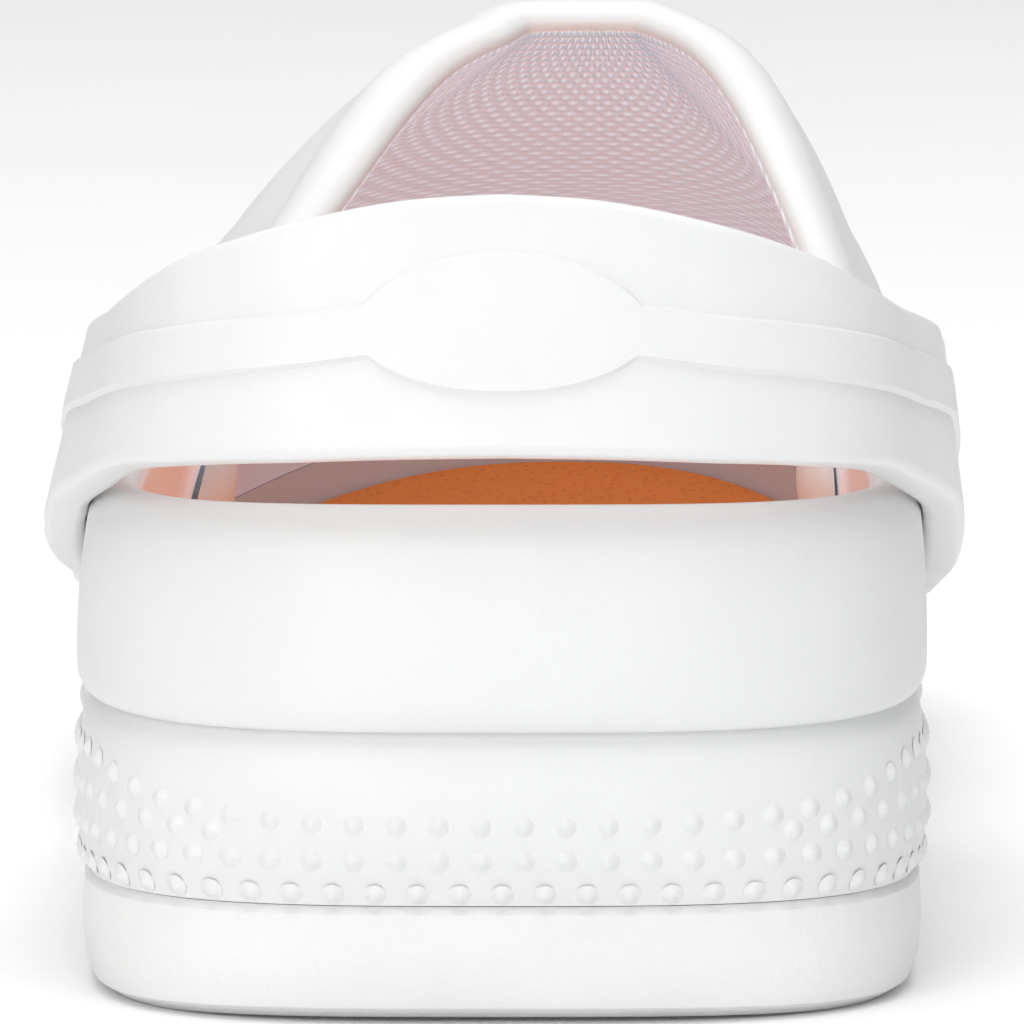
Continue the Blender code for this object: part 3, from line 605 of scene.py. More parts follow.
def midsole_rings(plan):
    """The midsole's side, the top of its rim and the rim's inner side, bottom first."""
    rings = []
    for height, out in zip(MIDSOLE_SIDE["height"], MIDSOLE_SIDE["out"]):
        rings.append(plan.ring(out, lambda y: midsole_height(height, y)))
    rings.append(plan.ring(-FOOT_INSET, lambda y: midsole_height(1, y)))
    rings.append(plan.ring(-FOOT_INSET, FLOOR_LEVEL))
    return rings


def insole_rings(plan):
    """The insole's edge, bottom first."""
    out = -(FOOT_INSET + INSOLE_PLAY)
    high = GAP + INSOLE_THICKNESS
    steps = [(out - INSOLE_EDGE_ROUND / 2, GAP), (out, GAP + INSOLE_EDGE_ROUND / 2)]
    for sine, cosine in quarter(EDGE_STEPS):
        steps.append((out - INSOLE_EDGE_ROUND * (1 - cosine), high - INSOLE_EDGE_ROUND * (1 - sine)))
    return [plan.ring(o, lambda y: level("floor", y) + h) for o, h in steps]


def insole_top(y):
    return level("floor", y) + GAP + INSOLE_THICKNESS


class Seat:
    """Where one rivet goes: a point on the upper's outer face, its axis and the planes clear of the wall."""

    def __init__(self, tree, side):
        aim = Vector((side * BALL_WIDTH, y_of(PIVOT_FROM_HEEL / LENGTH), PIVOT_HEIGHT))
        inward = Vector((-side, 0, 0))
        self.side = side
        self.point, self.axis = tree.ray_cast(aim, inward)[:2]
        if self.axis.x * side < 0:
            self.axis.negate()
        back = Vector((0, -math.cos(PIVOT_SLOPE), math.sin(PIVOT_SLOPE)))
        self.back = (back - self.axis * back.dot(self.axis)).normalized()
        self.up = self.axis.cross(self.back).normalized()
        if self.up.z < 0:
            self.up.negate()
        self.outer = max(self.heights(tree, STRAP_END_RADIUS, 1))
        self.inner = min(self.heights(tree, CAP_RADIUS, -1))

    def heights(self, tree, radius, way):
        """Heights of the wall over the seat's plane across a disc, outside (1) or inside (-1)."""
        reach = self.axis * way * REACH
        found = []
        for share in (0, 0.5, 1):
            for k in range(ROUND_SIDES):
                turn = 2 * math.pi * k / ROUND_SIDES
                spot = self.point + share * radius * (self.back * math.cos(turn) + self.up * math.sin(turn))
                hit = tree.ray_cast(spot + reach, -reach)[0]
                if hit is not None:
                    found.append((hit - self.point).dot(self.axis))
        return found

    def matrix(self):
        """The seat's frame with Z along its axis."""
        turned = Matrix((self.back, self.axis.cross(self.back), self.axis)).transposed().to_4x4()
        return Matrix.Translation(self.point) @ turned


def turned_mesh(profile):
    """A mesh turned round Z from a profile of radius and height, whose ends are on the axis."""
    points = []
    for radius, height in profile[1:-1]:
        for k in range(ROUND_SIDES):
            turn = 2 * math.pi * k / ROUND_SIDES
            points.append((radius * math.cos(turn), radius * math.sin(turn), height))
    faces = ring_faces(len(profile) - 2, ROUND_SIDES, False)
    points += [(0, 0, profile[0][1]), (0, 0, profile[-1][1])]
    last = (len(profile) - 3) * ROUND_SIDES
    for k in range(ROUND_SIDES):
        after = (k + 1) % ROUND_SIDES
        faces.append((len(points) - 2, after, k))
        faces.append((len(points) - 1, last + k, last + after))
    return points, faces


def dome(radius, height, base):
    """A domed top's profile from its rim to its crown: a short side, then an ellipse."""
    profile = [(radius, base + RIVET_EDGE)]
    for sine, cosine in quarter(DOME_STEPS)[1:]:
        profile.append((radius * cosine, base + RIVET_EDGE + (height - RIVET_EDGE) * sine))
    return profile


def rivet_profile(seat):
    """A domed button outside the strap, and its shank through strap and wall into the inner cap."""
    base = seat.outer + GAP + STRAP_THICKNESS + STRAP_RAISE + GAP
    end = seat.inner - CAP_HEIGHT / 2
    profile = [(0, end), (SHANK_RADIUS, end), (SHANK_RADIUS, base), (BUTTON_RADIUS, base)]
    return profile + dome(BUTTON_RADIUS, BUTTON_HEIGHT, base)


def cap_profile(seat):
    """A domed cap on the wall's inner face, hollow where the shank ends."""
    base = GAP - seat.inner
    bore = SHANK_RADIUS + GAP
    depth = base + CAP_HEIGHT / 2
    profile = [(0, depth), (bore, depth), (bore, base), (CAP_RADIUS, base)]
    return profile + dome(CAP_RADIUS, CAP_HEIGHT, base)


def strap_section(half, low, high, middle):
    """The strap's section as points across and out, with its raised band between low and high."""
    outer = STRAP_THICKNESS / 2
    raised = outer + STRAP_RAISE
    step = STRAP_RAISE * STRAP_STEP_SLOPE
    core = half - STRAP_EDGE
    wide = outer - STRAP_EDGE
    turns = quarter(EDGE_STEPS)[1:]
    corner = [(core + STRAP_EDGE * sine, wide + STRAP_EDGE * cosine) for sine, cosine in turns]
    right = corner + [(across, -out) for across, out in reversed(corner)]
    face = [(-core, outer), (low, outer), (low + step, raised), (middle, raised), (high - step, raised)]
    face += [(high, outer), (core, outer)]
    back = [(core, -outer), (middle, -outer), (-core, -outer)]
    left = [(-across, out) for across, out in reversed(right)]
    return face + right + back + left


def strap_pivot(seat):
    """The middle of the strap's thickness on the rivet's axis."""
    return seat.point + seat.axis * (seat.outer + GAP + STRAP_THICKNESS / 2)


def strap_line(seat):
    """The strap's middle from its back to its neck: points, distances along it and the table read there."""
    neck = strap_pivot(seat) + seat.back * STRAP_NECK
    back = Vector((0, y_of(0) + STRAP_BACK, PIVOT_HEIGHT + STRAP_RISE))
    station = np.linspace(0, 1, LINE_STEPS)
    read = {name: smooth(STRAP, name, station) for name in STRAP}
    miss = neck.x - seat.side * HEEL_WIDTH / 2 * read["side"][-1]
    place = np.column_stack([
        seat.side * HEEL_WIDTH / 2 * read["side"] + miss * read["turn"],
        back.y + (neck.y - back.y) * read["forward"],
        back.z + (neck.z - back.z) * read["drop"],
    ])
    return place, run_along(place), read


def strap_stations(run):
    """Distances along the strap's middle: close under the raised plate, then wider."""
    plate = np.linspace(0, STRAP_LENS[0] / 2 + STRAP_EDGE, PLATE_STEPS + 1)
    rest = np.linspace(plate[-1], run, SIDE_STEPS + 1)[1:]
    return np.concatenate([plate, rest])


def round_half(length, width, at):
    """Half the width of an oval at a distance from its middle."""
    return width / 2 * np.sqrt(np.clip(1 - (2 * at / length) ** 2, 0, 1))


def strap_frames(seat):
    """Frames of one half of the strap, back to neck: run, place, up, out, half width and band's middle."""
    place, run, read = strap_line(seat)
    along = np.gradient(place, axis=0)
    frames = []
    for at in strap_stations(run[-1]):
        here = Vector(read_at(place, run, at))
        forward = Vector(read_at(along, run, at)).normalized()
        out = Vector((forward.y, -forward.x, 0)).normalized() * seat.side
        up = Vector((0, 0, math.cos(STRAP_LEAN))) - out * math.sin(STRAP_LEAN)
        up = up.lerp(seat.up, np.interp(at, run, read["turn"]))
        up = (up - forward * up.dot(forward)).normalized()
        out = forward.cross(up) * seat.side
        half = STRAP_WIDTH / 2 * np.interp(at, run, read["width"])
        frames.append((at, here, up, out, half, half * np.interp(at, run, read["band"])))
    return frames


def wall_clearance(tree, frames):
    """How far each frame moves out so that the strap's inner face passes the wall with a GAP."""
    need = []
    for at, here, up, out, half, middle in frames:
        worst = 0
        for across in np.linspace(-half, half, FEELER_STEPS):
            spot = here + up * across - out * (STRAP_THICKNESS / 2 + GAP)
            hit = tree.ray_cast(spot + out * REACH, -out, REACH + 2 * WALL)[0]
            if hit is not None:
                worst = max(worst, (hit - spot).dot(out))
        need.append(worst)
    runs = np.array([frame[0] for frame in frames])
    fade = PUSH_FADE * np.abs(runs[:, None] - runs[None, :])
    return (np.array(need)[None, :] - fade).max(axis=1)


def strap_half(tree, seat):
    """Sections of one half of the strap, from its back to its rounded end."""
    pivot = strap_pivot(seat)
    pad = 2 * (STRAP_END_RADIUS - STRAP_END_BORDER)
    frames = strap_frames(seat)
    sections = []
    for (at, here, up, out, half, middle), push in zip(frames, wall_clearance(tree, frames)):
        band = max(STRAP_BAND / 2, float(round_half(*STRAP_LENS, at)))
        section = strap_section(half, middle - band, middle + band, middle)
        sections.append([here + up * across + out * (o + push) for across, o in section])
    for at in STRAP_NECK * (1 - np.arange(1, NECK_STEPS + 1) / (NECK_STEPS + 1)):
        band = max(STRAP_BAND / 2, float(round_half(pad, pad, at)))
        section = strap_section(STRAP_END_RADIUS, -band, band, 0)
        sections.append([pivot + seat.back * at + seat.up * a + seat.axis * o for a, o in section])
    for turn in np.linspace(0, math.pi / 2, END_STEPS + 1):
        section = strap_section(STRAP_END_RADIUS, -pad / 2, pad / 2, 0)
        ahead = -seat.back * math.sin(turn)
        sections.append([
            pivot + ahead * abs(a) + seat.up * a * math.cos(turn) + seat.axis * o for a, o in section
        ])
    return sections


def strap_shape(tree, seats):
    """Points and faces of the strap, swept from the lateral rivet round the heel to the medial one."""
    lateral, medial = (strap_half(tree, seat) for seat in seats)
    sections = lateral[::-1] + medial[1:]
    points = [p for section in sections for p in section]
    faces = ring_faces(len(sections), len(sections[0]), False)
    shape = bmesh.new()
    spots = [shape.verts.new(p) for p in points]
    for face in faces:
        shape.faces.new([spots[k] for k in face])
    bmesh.ops.remove_doubles(shape, verts=shape.verts, dist=MERGE_DISTANCE)
    bmesh.ops.dissolve_degenerate(shape, edges=shape.edges, dist=MERGE_DISTANCE / 2)
    bmesh.ops.recalc_face_normals(shape, faces=shape.faces)
    shape.verts.index_update()
    points = [tuple(v.co) for v in shape.verts]
    faces = [tuple(v.index for v in f.verts) for f in shape.faces]
    shape.free()
    return points, faces


# Details that only the looks have
BEAD_FROM_RIM = 5.2 * MM  # edge strip along the collar, on the outside, to the middle of its step
BEAD_HEIGHT = 0.35 * MM
BEAD_STEP = 1 * MM
BEAD_SPAN = (0.12, 0.24)  # it rises to its height between these shares
DOT_RADIUS = 1.2 * MM
DOT_HEIGHT = 0.58 * MM
DOT_SOFTNESS = 1.4  # 1 is a plain dome, 2 runs out level into the side
DOT_PITCH = 4.25 * MM
DOT_SINK = 0.08 * MM
DOT_RINGS = 6
DOT_SIDES = 14
DOT_RIBS = 400  # ribs a side of the plan that the rows of dots follow
VAMP_HEIGHT = 38 * MM  # the vamp's lining, with its beads, painted pit shade and painted glow, begins over this height, and ahead of this share
VAMP_SHARE = 0.25
VAMP_FADE = 14 * MM
LINING_PITCH = 3.2 * MM
LINING_RELIEF = 1.1 * MM
WEAVE_RING = 10  # rings inside the collar at which the lining's rows have their true spacing

# Rows of dots on the midsole: height over the seam at the back and along the sides, how far from the shoe's
# middle each starts at the back, as a share of HEEL_WIDTH, and its shift as a share of DOT_PITCH
DOT_ROWS = table(
    "back side start stagger",
    (1.1 * MM, 1.6 * MM, 0.00, 0.0),
    (4.6 * MM, 5.2 * MM, 0.00, 0.5),
    (6.8 * MM, 9.1 * MM, 0.30, 0.0),
    (8.1 * MM, 13.2 * MM, 0.00, 0.5),
)
DOT_RISE_SPAN = 20 * MM  # along the shoe, from the back rows' height to the sides'
DOT_BACK_END = 0.3  # ahead of this share every row is whole
DOT_LEVELS = (0.02, 0.9)  # the rows stay between these levels of the midsole's side
SLOPE_STEPS = 100  # steps up the midsole's side at which its slope is read

# Colours, and the second one that each goes over to in clouds, or for the lining in the pits between its
# beads, where it is painted shade
WHITE = ((0.74, 0.74, 0.735), (0.70, 0.705, 0.71))
RUBBER = ((0.79, 0.79, 0.785), (0.72, 0.72, 0.72))
PLASTIC = ((0.79, 0.79, 0.78), (0.75, 0.75, 0.745))
FLOOR = ((0.93, 0.93, 0.93), (0.91, 0.91, 0.91))
ORANGE = ((0.93, 0.27, 0.045), (0.84, 0.26, 0.05))
# The lining's own colour, then a darker one painted as shade in the pits between its beads
LINING_AND_PIT_SHADE = ((0.90, 0.92, 0.98), (0.80, 0.78, 0.84))
# Painted shade: the insole's deeper orange in its pores
PAINTED_PORE_SHADE = (0.68, 0.18, 0.035)
SPECK = (0.20, 0.18, 0.17)
PAINTED_LINING_GLOW = (0.68, 0.84, 1.00)  # painted light: the vamp's lining glows a cool white, though no lamp is there, to brighten the inside
PAINTED_GLOW_SHARES = (0.27, 0.46)  # how strong the painted glow is in the pits between the lining's beads and on them, which paints a highlight on each bead
PAINTED_INSOLE_GLOW = 0.06  # painted light: the footbed glows faintly in its own orange, though no lamp is there

# Noise: cells in a metre, detail and roughness
CLOUD = (22.0, 3.0, 0.55)
GLOSS = (160.0, 3.0, 0.6)
PEEL = (60.0, 2.0, 0.5)
GRAIN = (650.0, 3.0, 0.6)
FINE_GRAIN = (2600.0, 2.0, 0.6)
INSOLE_CLOUD = (30.0, 3.0, 0.5)
INSOLE_DENTS = (90.0, 2.0, 0.5)
PLASTIC_CLOUD = (120.0, 2.0, 0.5)
PLASTIC_GLOSS = (700.0, 2.0, 0.6)
PLASTIC_GRAIN = (900.0, 2.0, 0.6)
FLOOR_CLOUD = (6.0, 2.0, 0.5)
MIDDLE = (0.35, 0.65)  # range of a noise that is stretched from 0 to 1
WIDE = (0.3, 0.7)

# Relief: its real height, and how strongly it shows
PEEL_RELIEF = (0.25 * MM, 0.25)
GRAIN_RELIEF = 0.06 * MM
FINE_RELIEF = 0.02 * MM
GRAIN_STRENGTH = 0.8
DENT_RELIEF = (0.3 * MM, 0.3)
PORE_RELIEF = (0.12 * MM, 0.7)
PLASTIC_RELIEF = (0.03 * MM, 0.6)

# Pores and specks: cells in a metre, then distances from a cell's middle as shares of a cell
PORES = 900.0
PORE_EDGE = (0.05, 0.35)
SPECKS = 45.0
SPECK_RADIUS = 0.016
SPECK_BARE = 0.72  # share of the cells without one
SPECK_STRENGTH = 0.8
BEAD_RANGE = (-1.5, 3.0)  # least and most that the lining's three waves add up to

# Roughness: how far the foam's varies about its own, and the plastic's least and most
FOAM_VARIES = (-0.05, 0.08)
PLASTIC_ROUGHNESS = (0.34, 0.46)

# Lights: place, size, power and colour, with places behind the shoe measured from the heel's back
KEY_LIGHT = ((-0.6, -1.4, 0.7), 0.7, 6.3, (1.0, 0.99, 0.975))
FRONT_LIGHT = ((0.0, -1.6, 0.14), 0.35, 5.0, (0.97, 0.98, 1.0))
TOP_LIGHT = ((0, -0.35, 1.45), 1.0, 11.0, (1.0, 1.0, 1.0))
BACK_LIGHT = ((0, 1.5, 2.0), 2.6, 21.0, (1.0, 1.0, 1.0))
AIM_HEIGHT = 0.05
SURROUND = 0.52
FLOOR_SIZE = 8

# Sockets of a mix node for colours: share, first colour, second colour, and the output
MIX_INPUTS = (0, 6, 7)
MIX_OUTPUT = 2


class Shader:
    """A material's nodes, made and linked by short calls."""

    def __init__(self, name, roughness, coat=0.0, coat_roughness=0.3):
        self.material = bpy.data.materials.new(name)
        self.material.use_nodes = True
        self.material.cycles.emission_sampling = "NONE"  # its glow is too faint to be worth a lamp's samples
        self.tree = self.material.node_tree
        self.surface = self.tree.nodes["Principled BSDF"]
        self.dress({"Roughness": roughness, "Coat Weight": coat, "Coat Roughness": coat_roughness})
        self.place = self.node("TexCoord", {}).outputs["Object"]
        self.normal = None

    def put(self, node, inputs):
        """Sets a node's inputs to numbers and colours, or links them to other nodes' outputs."""
        for name, value in inputs.items():
            socket = node.inputs[name]
            if isinstance(value, bpy.types.NodeSocket):
                self.tree.links.new(value, socket)
            elif isinstance(value, tuple):
                socket.default_value = (*value, 1)[:len(socket.default_value)]
            else:
                socket.default_value = value

    def node(self, kind, inputs, **settings):
        made = self.tree.nodes.new("ShaderNode" + kind)
        for name, value in settings.items():
            setattr(made, name, value)
        self.put(made, inputs)
        return made

    def noise(self, scale, detail, roughness):
        inputs = {"Vector": self.place, "Scale": scale, "Detail": detail, "Roughness": roughness}
        return self.node("TexNoise", inputs).outputs["Fac"]

    def cells(self, scale):
        return self.node("TexVoronoi", {"Vector": self.place, "Scale": scale}).outputs

    def spread(self, value, low, high, out_low=0.0, out_high=1.0):
        """Stretches one range of a value to another."""
        inputs = {"Value": value, "From Min": low, "From Max": high, "To Min": out_low, "To Max": out_high}
        return self.node("MapRange", inputs).outputs["Result"]

    def math(self, operation, *values):
        return self.node("Math", dict(enumerate(values)), operation=operation).outputs["Value"]

    def mix(self, *share_and_colours):
        inputs = dict(zip(MIX_INPUTS, share_and_colours))
        return self.node("Mix", inputs, data_type="RGBA").outputs[MIX_OUTPUT]

    def attribute(self, name):
        return self.node("Attribute", {}, attribute_name=name).outputs

    def lattice(self, name, pitch):
        """Beads on a grid of triangles over a mesh attribute that holds lengths: three waves, summed."""
        place = self.attribute(name)["Vector"]
        pace = 2 * math.pi / (pitch * math.sin(math.pi / 3))
        total = 0.0
        for turn in (0, math.pi / 3, 2 * math.pi / 3):
            way = (pace * math.sin(turn), pace * math.cos(turn), 0)
            wave = self.node("VectorMath", {0: place, 1: way}, operation="DOT_PRODUCT")
            total = self.math("ADD", self.math("COSINE", wave.outputs["Value"]), total)
        return total

    def bump(self, height, distance, strength):
        """Adds a layer of relief of a real height over those before it."""
        made = self.node("Bump", {"Height": height, "Distance": distance, "Strength": strength})
        if self.normal is not None:
            self.put(made, {"Normal": self.normal})
        self.normal = made.outputs["Normal"]
        self.dress({"Normal": self.normal})

    def dress(self, inputs):
        """Sets or links the surface's own inputs."""
        self.put(self.surface, inputs)


def specks(shader, base):
    """A few tiny dark specks, far apart, as dust on foam."""
    cells = shader.cells(SPECKS)
    near = shader.math("LESS_THAN", cells["Distance"], SPECK_RADIUS)
    apart = shader.node("SeparateColor", {"Color": cells["Color"]})
    chosen = shader.math("GREATER_THAN", apart.outputs[0], SPECK_BARE)
    share = shader.math("MULTIPLY", near, chosen)
    return shader.mix(shader.math("MULTIPLY", share, SPECK_STRENGTH), base, SPECK)


def foam(name, white, grain, roughness):
    """Moulded white foam: cloudy white, a soft satin skin, fine grain and faint orange peel."""
    shader = Shader(name, roughness, coat=0.06, coat_roughness=0.35)
    cloud = shader.spread(shader.noise(*CLOUD), *MIDDLE)
    base = specks(shader, shader.mix(cloud, *white))
    least, most = (roughness + varies for varies in FOAM_VARIES)
    shader.dress({"Base Color": base, "Roughness": shader.spread(shader.noise(*GLOSS), *WIDE, least, most)})
    shader.bump(shader.noise(*PEEL), *PEEL_RELIEF)
    shader.bump(shader.noise(*GRAIN), GRAIN_RELIEF * grain, GRAIN_STRENGTH)
    shader.bump(shader.noise(*FINE_GRAIN), FINE_RELIEF * grain, GRAIN_STRENGTH)
    return shader


def upper_material():
    """White foam outside, and a lining of fine close bumps inside, told apart by the mesh; on the vamp,
    painted shade in the pits between the bumps and a painted glow, no lamp, that is brighter on the bumps.
    """
    shader = foam("upper_foam", WHITE, grain=1.0, roughness=0.46)
    inside = shader.attribute("lining")["Fac"]
    base = shader.surface.inputs["Base Color"].links[0].from_socket
    beads = shader.spread(shader.lattice("weave", LINING_PITCH), *BEAD_RANGE)
    vamp = shader.attribute("vamp")["Fac"]
    # Painted shade: the lining darkens in the pits between its beads on the vamp
    pit_shade = shader.math("MULTIPLY", vamp, shader.math("SUBTRACT", 1.0, beads))
    colour = shader.mix(inside, base, shader.mix(pit_shade, *LINING_AND_PIT_SHADE))
    # Painted light: the vamp's lining glows, brightest on the beads, though no lamp is there
    painted_glow = shader.math("MULTIPLY", vamp, shader.spread(beads, 0.0, 1.0, *PAINTED_GLOW_SHARES))
    shader.dress({"Base Color": colour, "Emission Color": PAINTED_LINING_GLOW, "Emission Strength": painted_glow})
    shader.bump(beads, LINING_RELIEF, vamp)
    return shader.material


def insole_material():
    """Orange foam: a fine open cell skin with painted shade, a deeper orange, in its pores, and a faint
    painted glow of its own orange.
    """
    shader = Shader("insole_foam", roughness=0.78)
    pore = shader.spread(shader.cells(PORES)["Distance"], *PORE_EDGE)
    cloud = shader.spread(shader.noise(*INSOLE_CLOUD), *MIDDLE)
    # Painted shade: a deeper orange in the pores
    colour = shader.mix(pore, PAINTED_PORE_SHADE, shader.mix(cloud, *ORANGE))
    # Painted light: the footbed glows faintly in its own orange
    shader.dress({"Base Color": colour, "Emission Color": ORANGE[0], "Emission Strength": PAINTED_INSOLE_GLOW})
    shader.bump(shader.noise(*INSOLE_DENTS), *DENT_RELIEF)
    shader.bump(pore, *PORE_RELIEF)
    return shader.material


def rivet_material():
    """Moulded plastic, a little harder and smoother than the foam."""
    shader = Shader("rivet_plastic", roughness=0.38, coat=0.1, coat_roughness=0.25)
    cloud = shader.spread(shader.noise(*PLASTIC_CLOUD), *WIDE)
    gloss = shader.spread(shader.noise(*PLASTIC_GLOSS), *WIDE, *PLASTIC_ROUGHNESS)
    shader.dress({"Base Color": shader.mix(cloud, *PLASTIC), "Roughness": gloss})
    shader.bump(shader.noise(*PLASTIC_GRAIN), *PLASTIC_RELIEF)
    return shader.material


def floor_material():
    """A matt floor, almost white."""
    shader = Shader("studio_floor", roughness=0.9)
    tone = shader.spread(shader.noise(*FLOOR_CLOUD), *WIDE)
    shader.dress({"Base Color": shader.mix(tone, *FLOOR)})
    return shader.material


def add(name, data):
    """Puts data into the scene as an object."""
    made = bpy.data.objects.new(name, data)
    bpy.context.scene.collection.objects.link(made)
    return made


def mesh_of(name, points, faces):
    """A smoothly shaded mesh."""
    mesh = bpy.data.meshes.new(name)
    mesh.from_pydata([tuple(p) for p in points], [], faces)
    mesh.shade_smooth()
    return mesh


def dress(name, mesh, material, node):
    """Adds a mesh that stands for a node, rides with it and takes its finish from a slot."""
    made = add(name, mesh)
    mesh.materials.append(material)
    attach(made, "root")
    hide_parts(node)
    return made


def piece(name, points, faces, material, slot, node):
    """A closed shape as a piece, its faces turned outwards and its edges kept sharp."""
    mesh = mesh_of(name, points, faces)
    mesh.validate()
    if inside_out(points, faces):
        mesh.flip_normals()
    mesh.set_sharp_from_angle(angle=SHARP_ANGLE)
    return dress(name, mesh, material, node)


def cut_now(made, meshes):
    """Takes closed shapes out of a piece for good."""
    for mesh in meshes:
        tool = add(mesh.name, mesh)
        step = made.modifiers.new(mesh.name, "BOOLEAN")
        step.operation = "DIFFERENCE"
        step.solver = "EXACT"
        step.object = tool
        bpy.context.view_layer.update()
        depsgraph = bpy.context.evaluated_depsgraph_get()
        result = bpy.data.meshes.new_from_object(made.evaluated_get(depsgraph))
        made.modifiers.clear()
        made.data = result
        bpy.data.objects.remove(tool, do_unlink=True)


def bore_mesh(seat):
    """The rivet's hole as a mesh in the shoe's frame."""
    mesh = rod_mesh("bore", SHANK_RADIUS + GAP, BORE_LENGTH)
    mesh.transform(seat.matrix() @ Matrix.Rotation(math.pi / ROUND_SIDES, 4, "Z"))
    return mesh


def with_bead(rings, plan):
    """Raises the edge strip along the collar's outside: the rings near the rim, away from the heel."""
    rings = np.array([np.array(r) for r in rings])
    first = EDGE_STEPS + OUTER_STEPS
    along = np.roll(rings, -1, 1) - np.roll(rings, 1, 1)
    normal = unit(np.cross(np.gradient(rings, axis=0), along))
    low = EDGE_STEPS + EDGE_STEPS // 2  # a ring low on the outside, whose normals tell which way is out
    out = np.sign(((rings[low] - rings.mean(axis=(0, 1))) * normal[low]).sum())
    start, end = BEAD_SPAN
    fade = ease((plan.share[None, :, None] - start) / (end - start))
    run = np.linalg.norm(rings[:first] - rings[first][None], axis=2)[..., None]
    step = ease((BEAD_FROM_RIM + BEAD_STEP / 2 - run) / BEAD_STEP)
    rings[:first] += out * normal[:first] * step * fade * BEAD_HEIGHT
    return list(rings)


def weave_grid(rings, first):
    """Lengths round each ring and down from the collar, which place the lining's beads."""
    grid = np.array([np.array(ring) for ring in rings])
    ring = grid[first + WEAVE_RING]
    around = run_along(np.vstack([ring, ring[:1]]))
    around *= round(around[-1] / LINING_PITCH) * LINING_PITCH / around[-1]
    deep = np.cumsum(np.linalg.norm(np.diff(grid, axis=0, prepend=grid[:1]), axis=2), axis=0)
    deep = np.hstack([deep, deep[:, :1]]) - np.append(deep[first], deep[first, 0])
    return np.stack([np.broadcast_to(around, deep.shape), deep, 0 * deep], -1)


def build_upper(plan, material):
    """The upper with the marks that its material reads, and a tree of its plain shape."""
    rings = upper_rings(plan)
    points = [tuple(p) for ring in rings for p in ring]
    faces = ring_faces(len(rings), len(rings[0]), True)
    tree = BVHTree.FromPolygons(points, faces)
    points = [tuple(p) for ring in with_bead(rings, plan) for p in ring]
    made = piece("upper_shell", points, faces, material, "upper_foam", "upper")
    size = len(rings[0])
    inner = EDGE_STEPS + OUTER_STEPS + EDGE_STEPS + EDGE_STEPS // 2
    inside = np.zeros(len(points))
    inside[inner * size:] = 1
    weave = weave_grid(rings, inner)
    mark = made.data.attributes.new("weave", "FLOAT_VECTOR", "CORNER")
    for face in made.data.polygons:
        closing = {k % size for k in face.vertices} == {0, size - 1}
        for corner, k in zip(face.loop_indices, face.vertices):
            mark.data[corner].vector = weave[k // size, size if closing and k % size == 0 else k % size]
    place = np.array(points)
    high = np.clip((place[:, 2] - VAMP_HEIGHT) / VAMP_FADE, 0, 1)
    vamp = high * np.clip((place[:, 1] - y_of(VAMP_SHARE)) / VAMP_FADE, 0, 1)
    for name, values in (("lining", inside), ("vamp", inside * ease(vamp))):
        mark = made.data.attributes.new(name, "FLOAT", "POINT")
        mark.data.foreach_set("value", values)
    return made, tree


def row_points(plan, row):
    """Places and outward normals along one row of dots, spaced by DOT_PITCH."""
    back, side, start, stagger = (DOT_ROWS[name][row] for name in ("back", "side", "start", "stagger"))
    y = plan.point[:, 1]
    over = back + (side - back) * np.clip((y - y_of(0)) / DOT_RISE_SPAN, 0, 1)
    tall = midsole_height(1, y) - midsole_height(0, y)
    height = np.clip(over / tall, *DOT_LEVELS)
    out = smooth(MIDSOLE_SIDE, "out", height)
    flat = plan.point + plan.normal * out[:, None]
    place = np.column_stack([flat, midsole_height(0, y) + height * tall])
    levels = np.linspace(0, 1, SLOPE_STEPS + 1)
    tilt = -np.gradient(smooth(MIDSOLE_SIDE, "out", levels))
    normal = unit(np.column_stack([plan.normal, np.interp(height, levels, tilt) * SLOPE_STEPS / tall]))
    loop = np.vstack([place, place[:1]])
    run = run_along(loop)
    number = round(run[-1] / DOT_PITCH)
    at = (np.arange(number) + stagger) * run[-1] / number
    spots = read_at(loop, run, at)
    ways = read_at(np.vstack([normal, normal[:1]]), run, at)
    middle = np.interp(at, run, np.append(plan.point[:, 0], plan.point[0, 0]))
    keep = (np.abs(middle) >= start * HEEL_WIDTH) | (spots[:, 1] > y_of(DOT_BACK_END))
    return spots[keep], ways[keep]


def dot_shape():
    """A dot's points, in rings from its edge to its top, and its faces."""
    shape = []
    for share in np.linspace(1, 0, DOT_RINGS + 1)[:-1]:
        height = DOT_HEIGHT * math.cos(math.pi / 2 * share) ** DOT_SOFTNESS
        shape.append((DOT_RADIUS * share, height - DOT_SINK))
    turn = np.linspace(0, 2 * np.pi, DOT_SIDES, endpoint=False)
    points = [(r * math.cos(t), r * math.sin(t), h) for r, h in shape for t in turn]
    faces = ring_faces(len(shape), DOT_SIDES, False)
    points.append((0, 0, DOT_HEIGHT - DOT_SINK))
    last = (len(shape) - 1) * DOT_SIDES
    faces += [(last + k, last + (k + 1) % DOT_SIDES, len(points) - 1) for k in range(DOT_SIDES)]
    return points, faces


def build_dots(material):
    """All the dots of the midsole's side as one mesh."""
    plan = Plan(DOT_RIBS)
    shape, shape_faces = dot_shape()
    points = []
    faces = []
    for row in range(len(DOT_ROWS["back"])):
        for spot, way in zip(*row_points(plan, row)):
            turn = Vector(way).normalized().to_track_quat("Z", "Y").to_matrix()
            first = len(points)
            points += [Vector(spot) + turn @ Vector(p) for p in shape]
            faces += [tuple(first + k for k in f) for f in shape_faces]
    dress("midsole_dots", mesh_of("midsole_dots", points, faces), material, "midsole")


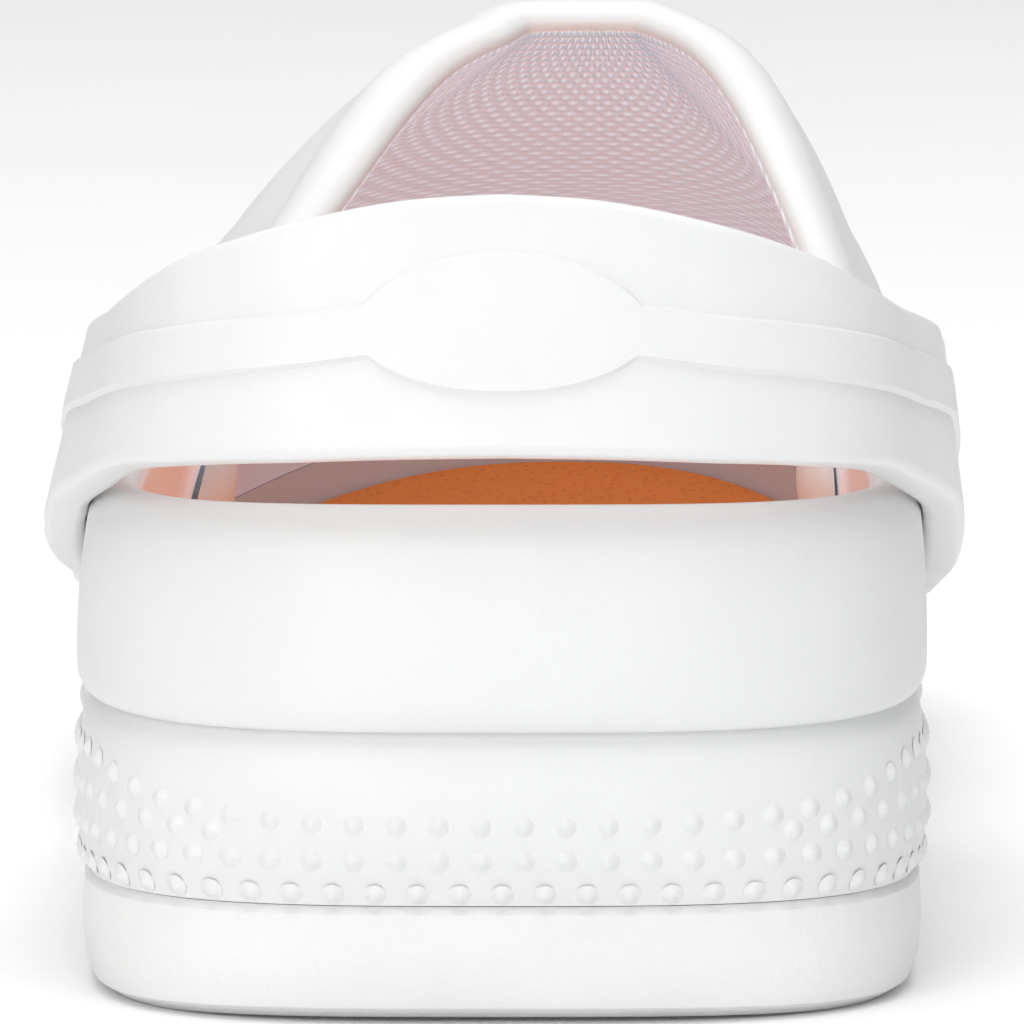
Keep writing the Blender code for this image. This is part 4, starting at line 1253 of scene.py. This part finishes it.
def build_rivets(seats, material):
    """The buttons outside and the caps inside."""
    for seat, side in zip(seats, ("lateral", "medial")):
        inward = seat.matrix() @ Matrix.Rotation(math.pi, 4, "X")
        parts = (
            ("button_", "rivet_", rivet_profile(seat), seat.matrix()),
            ("cap_", "rivet_cap_", cap_profile(seat), inward),
        )
        for name, node, profile, matrix in parts:
            points, faces = turned_mesh(profile)
            points = [matrix @ Vector(p) for p in points]
            piece(name + side, points, faces, material, "rivet_plastic", node + side)


def lit_area(name, place, target, size, power, colour):
    """A soft square light that faces a target."""
    lamp = bpy.data.lights.new(name, "AREA")
    lamp.shape = "SQUARE"
    lamp.size = size
    lamp.energy = power
    lamp.color = colour
    made = add(name, lamp)
    made.location = place
    made.rotation_euler = (Vector(target) - Vector(place)).to_track_quat("-Z", "Y").to_euler()


def studio():
    """A pale floor, a bright even surround and soft lights, the main one high on the left behind the heel."""
    bpy.ops.mesh.primitive_plane_add(size=FLOOR_SIZE, location=(0, 0, 0))
    floor = bpy.context.object
    floor.name = "studio_floor"
    floor.data.materials.append(floor_material())
    world = bpy.data.worlds.new("studio")
    bpy.context.scene.world = world
    world.use_nodes = True
    world.node_tree.nodes["Background"].inputs["Color"].default_value = (1.0, 1.0, 1.0, 1)
    world.node_tree.nodes["Background"].inputs["Strength"].default_value = SURROUND
    heel = (0, y_of(0), AIM_HEIGHT)
    for name, light in (("key", KEY_LIGHT), ("front", FRONT_LIGHT)):
        right, ahead, up = light[0]
        lit_area(name, (right, y_of(0) + ahead, up), heel, *light[1:])
    lit_area("top", TOP_LIGHT[0], (0, 0, 0), *TOP_LIGHT[1:])
    lit_area("back", BACK_LIGHT[0], (*BACK_LIGHT[0][:2], 0), *BACK_LIGHT[1:])


# The camera, from the photograph: behind the heel, a little above the shoe, far away with a long lens
CAMERA_BACK = 900 * MM  # from the heel's back
CAMERA_HEIGHT = 148 * MM
FOCAL_PIXELS = 9115  # for an image 1024 pixels wide
IMAGE_PIXELS = 1024
AIM_RIGHT = 10  # pixels from the image's middle to the shoe's middle line
AIM_DOWN = 974  # pixels from the horizon to the image's middle
SENSOR = 36
CLIP_START = 0.05


def camera():
    lens = bpy.data.cameras.new("camera")
    lens.sensor_width = SENSOR
    lens.lens = FOCAL_PIXELS * SENSOR / IMAGE_PIXELS
    lens.clip_start = CLIP_START
    made = add("camera", lens)
    made.location = (0, y_of(0) - CAMERA_BACK, CAMERA_HEIGHT)
    aim = Vector((AIM_RIGHT, FOCAL_PIXELS, -AIM_DOWN))
    made.rotation_euler = aim.to_track_quat("-Z", "Y").to_euler()
    bpy.context.scene.camera = made


def build_clog():
    plan = Plan(RIBS_A_SIDE)
    white = foam("sole_foam", WHITE, grain=1.0, roughness=0.5).material
    grainy = foam("outsole_rubber", RUBBER, grain=2.6, roughness=0.6).material
    strap_white = foam("strap_foam", WHITE, grain=0.8, roughness=0.42).material
    plastic = rivet_material()

    upper, tree = build_upper(plan, upper_material())
    seats = [Seat(tree, LATERAL), Seat(tree, MEDIAL)]
    cut_now(upper, [bore_mesh(seat) for seat in seats])

    strap = piece("heel_strap", *strap_shape(tree, seats), strap_white, "strap_foam", "strap")
    cut_now(strap, [bore_mesh(seat) for seat in seats])
    build_rivets(seats, plastic)

    points, faces = layered(insole_rings(plan), lambda y: level("floor", y) + GAP, insole_top)
    piece("footbed", points, faces, insole_material(), "insole_foam", "insole")

    points, faces = layered(midsole_rings(plan), lambda y: midsole_height(0, y), FLOOR_LEVEL)
    piece("midsole_tray", points, faces, white, "sole_foam", "midsole")
    build_dots(white)

    points, faces = layered(outsole_rings(plan), sole_bottom, SEAM_LEVEL)
    sole = piece("outsole_tread", points, faces, grainy, "outsole_rubber", "outsole")
    cut_now(sole, [box_mesh("cross", cross_grooves()), box_mesh("long", long_grooves())])


build_clog()
studio()
camera()
bpy.context.scene.view_settings.view_transform = "Standard"
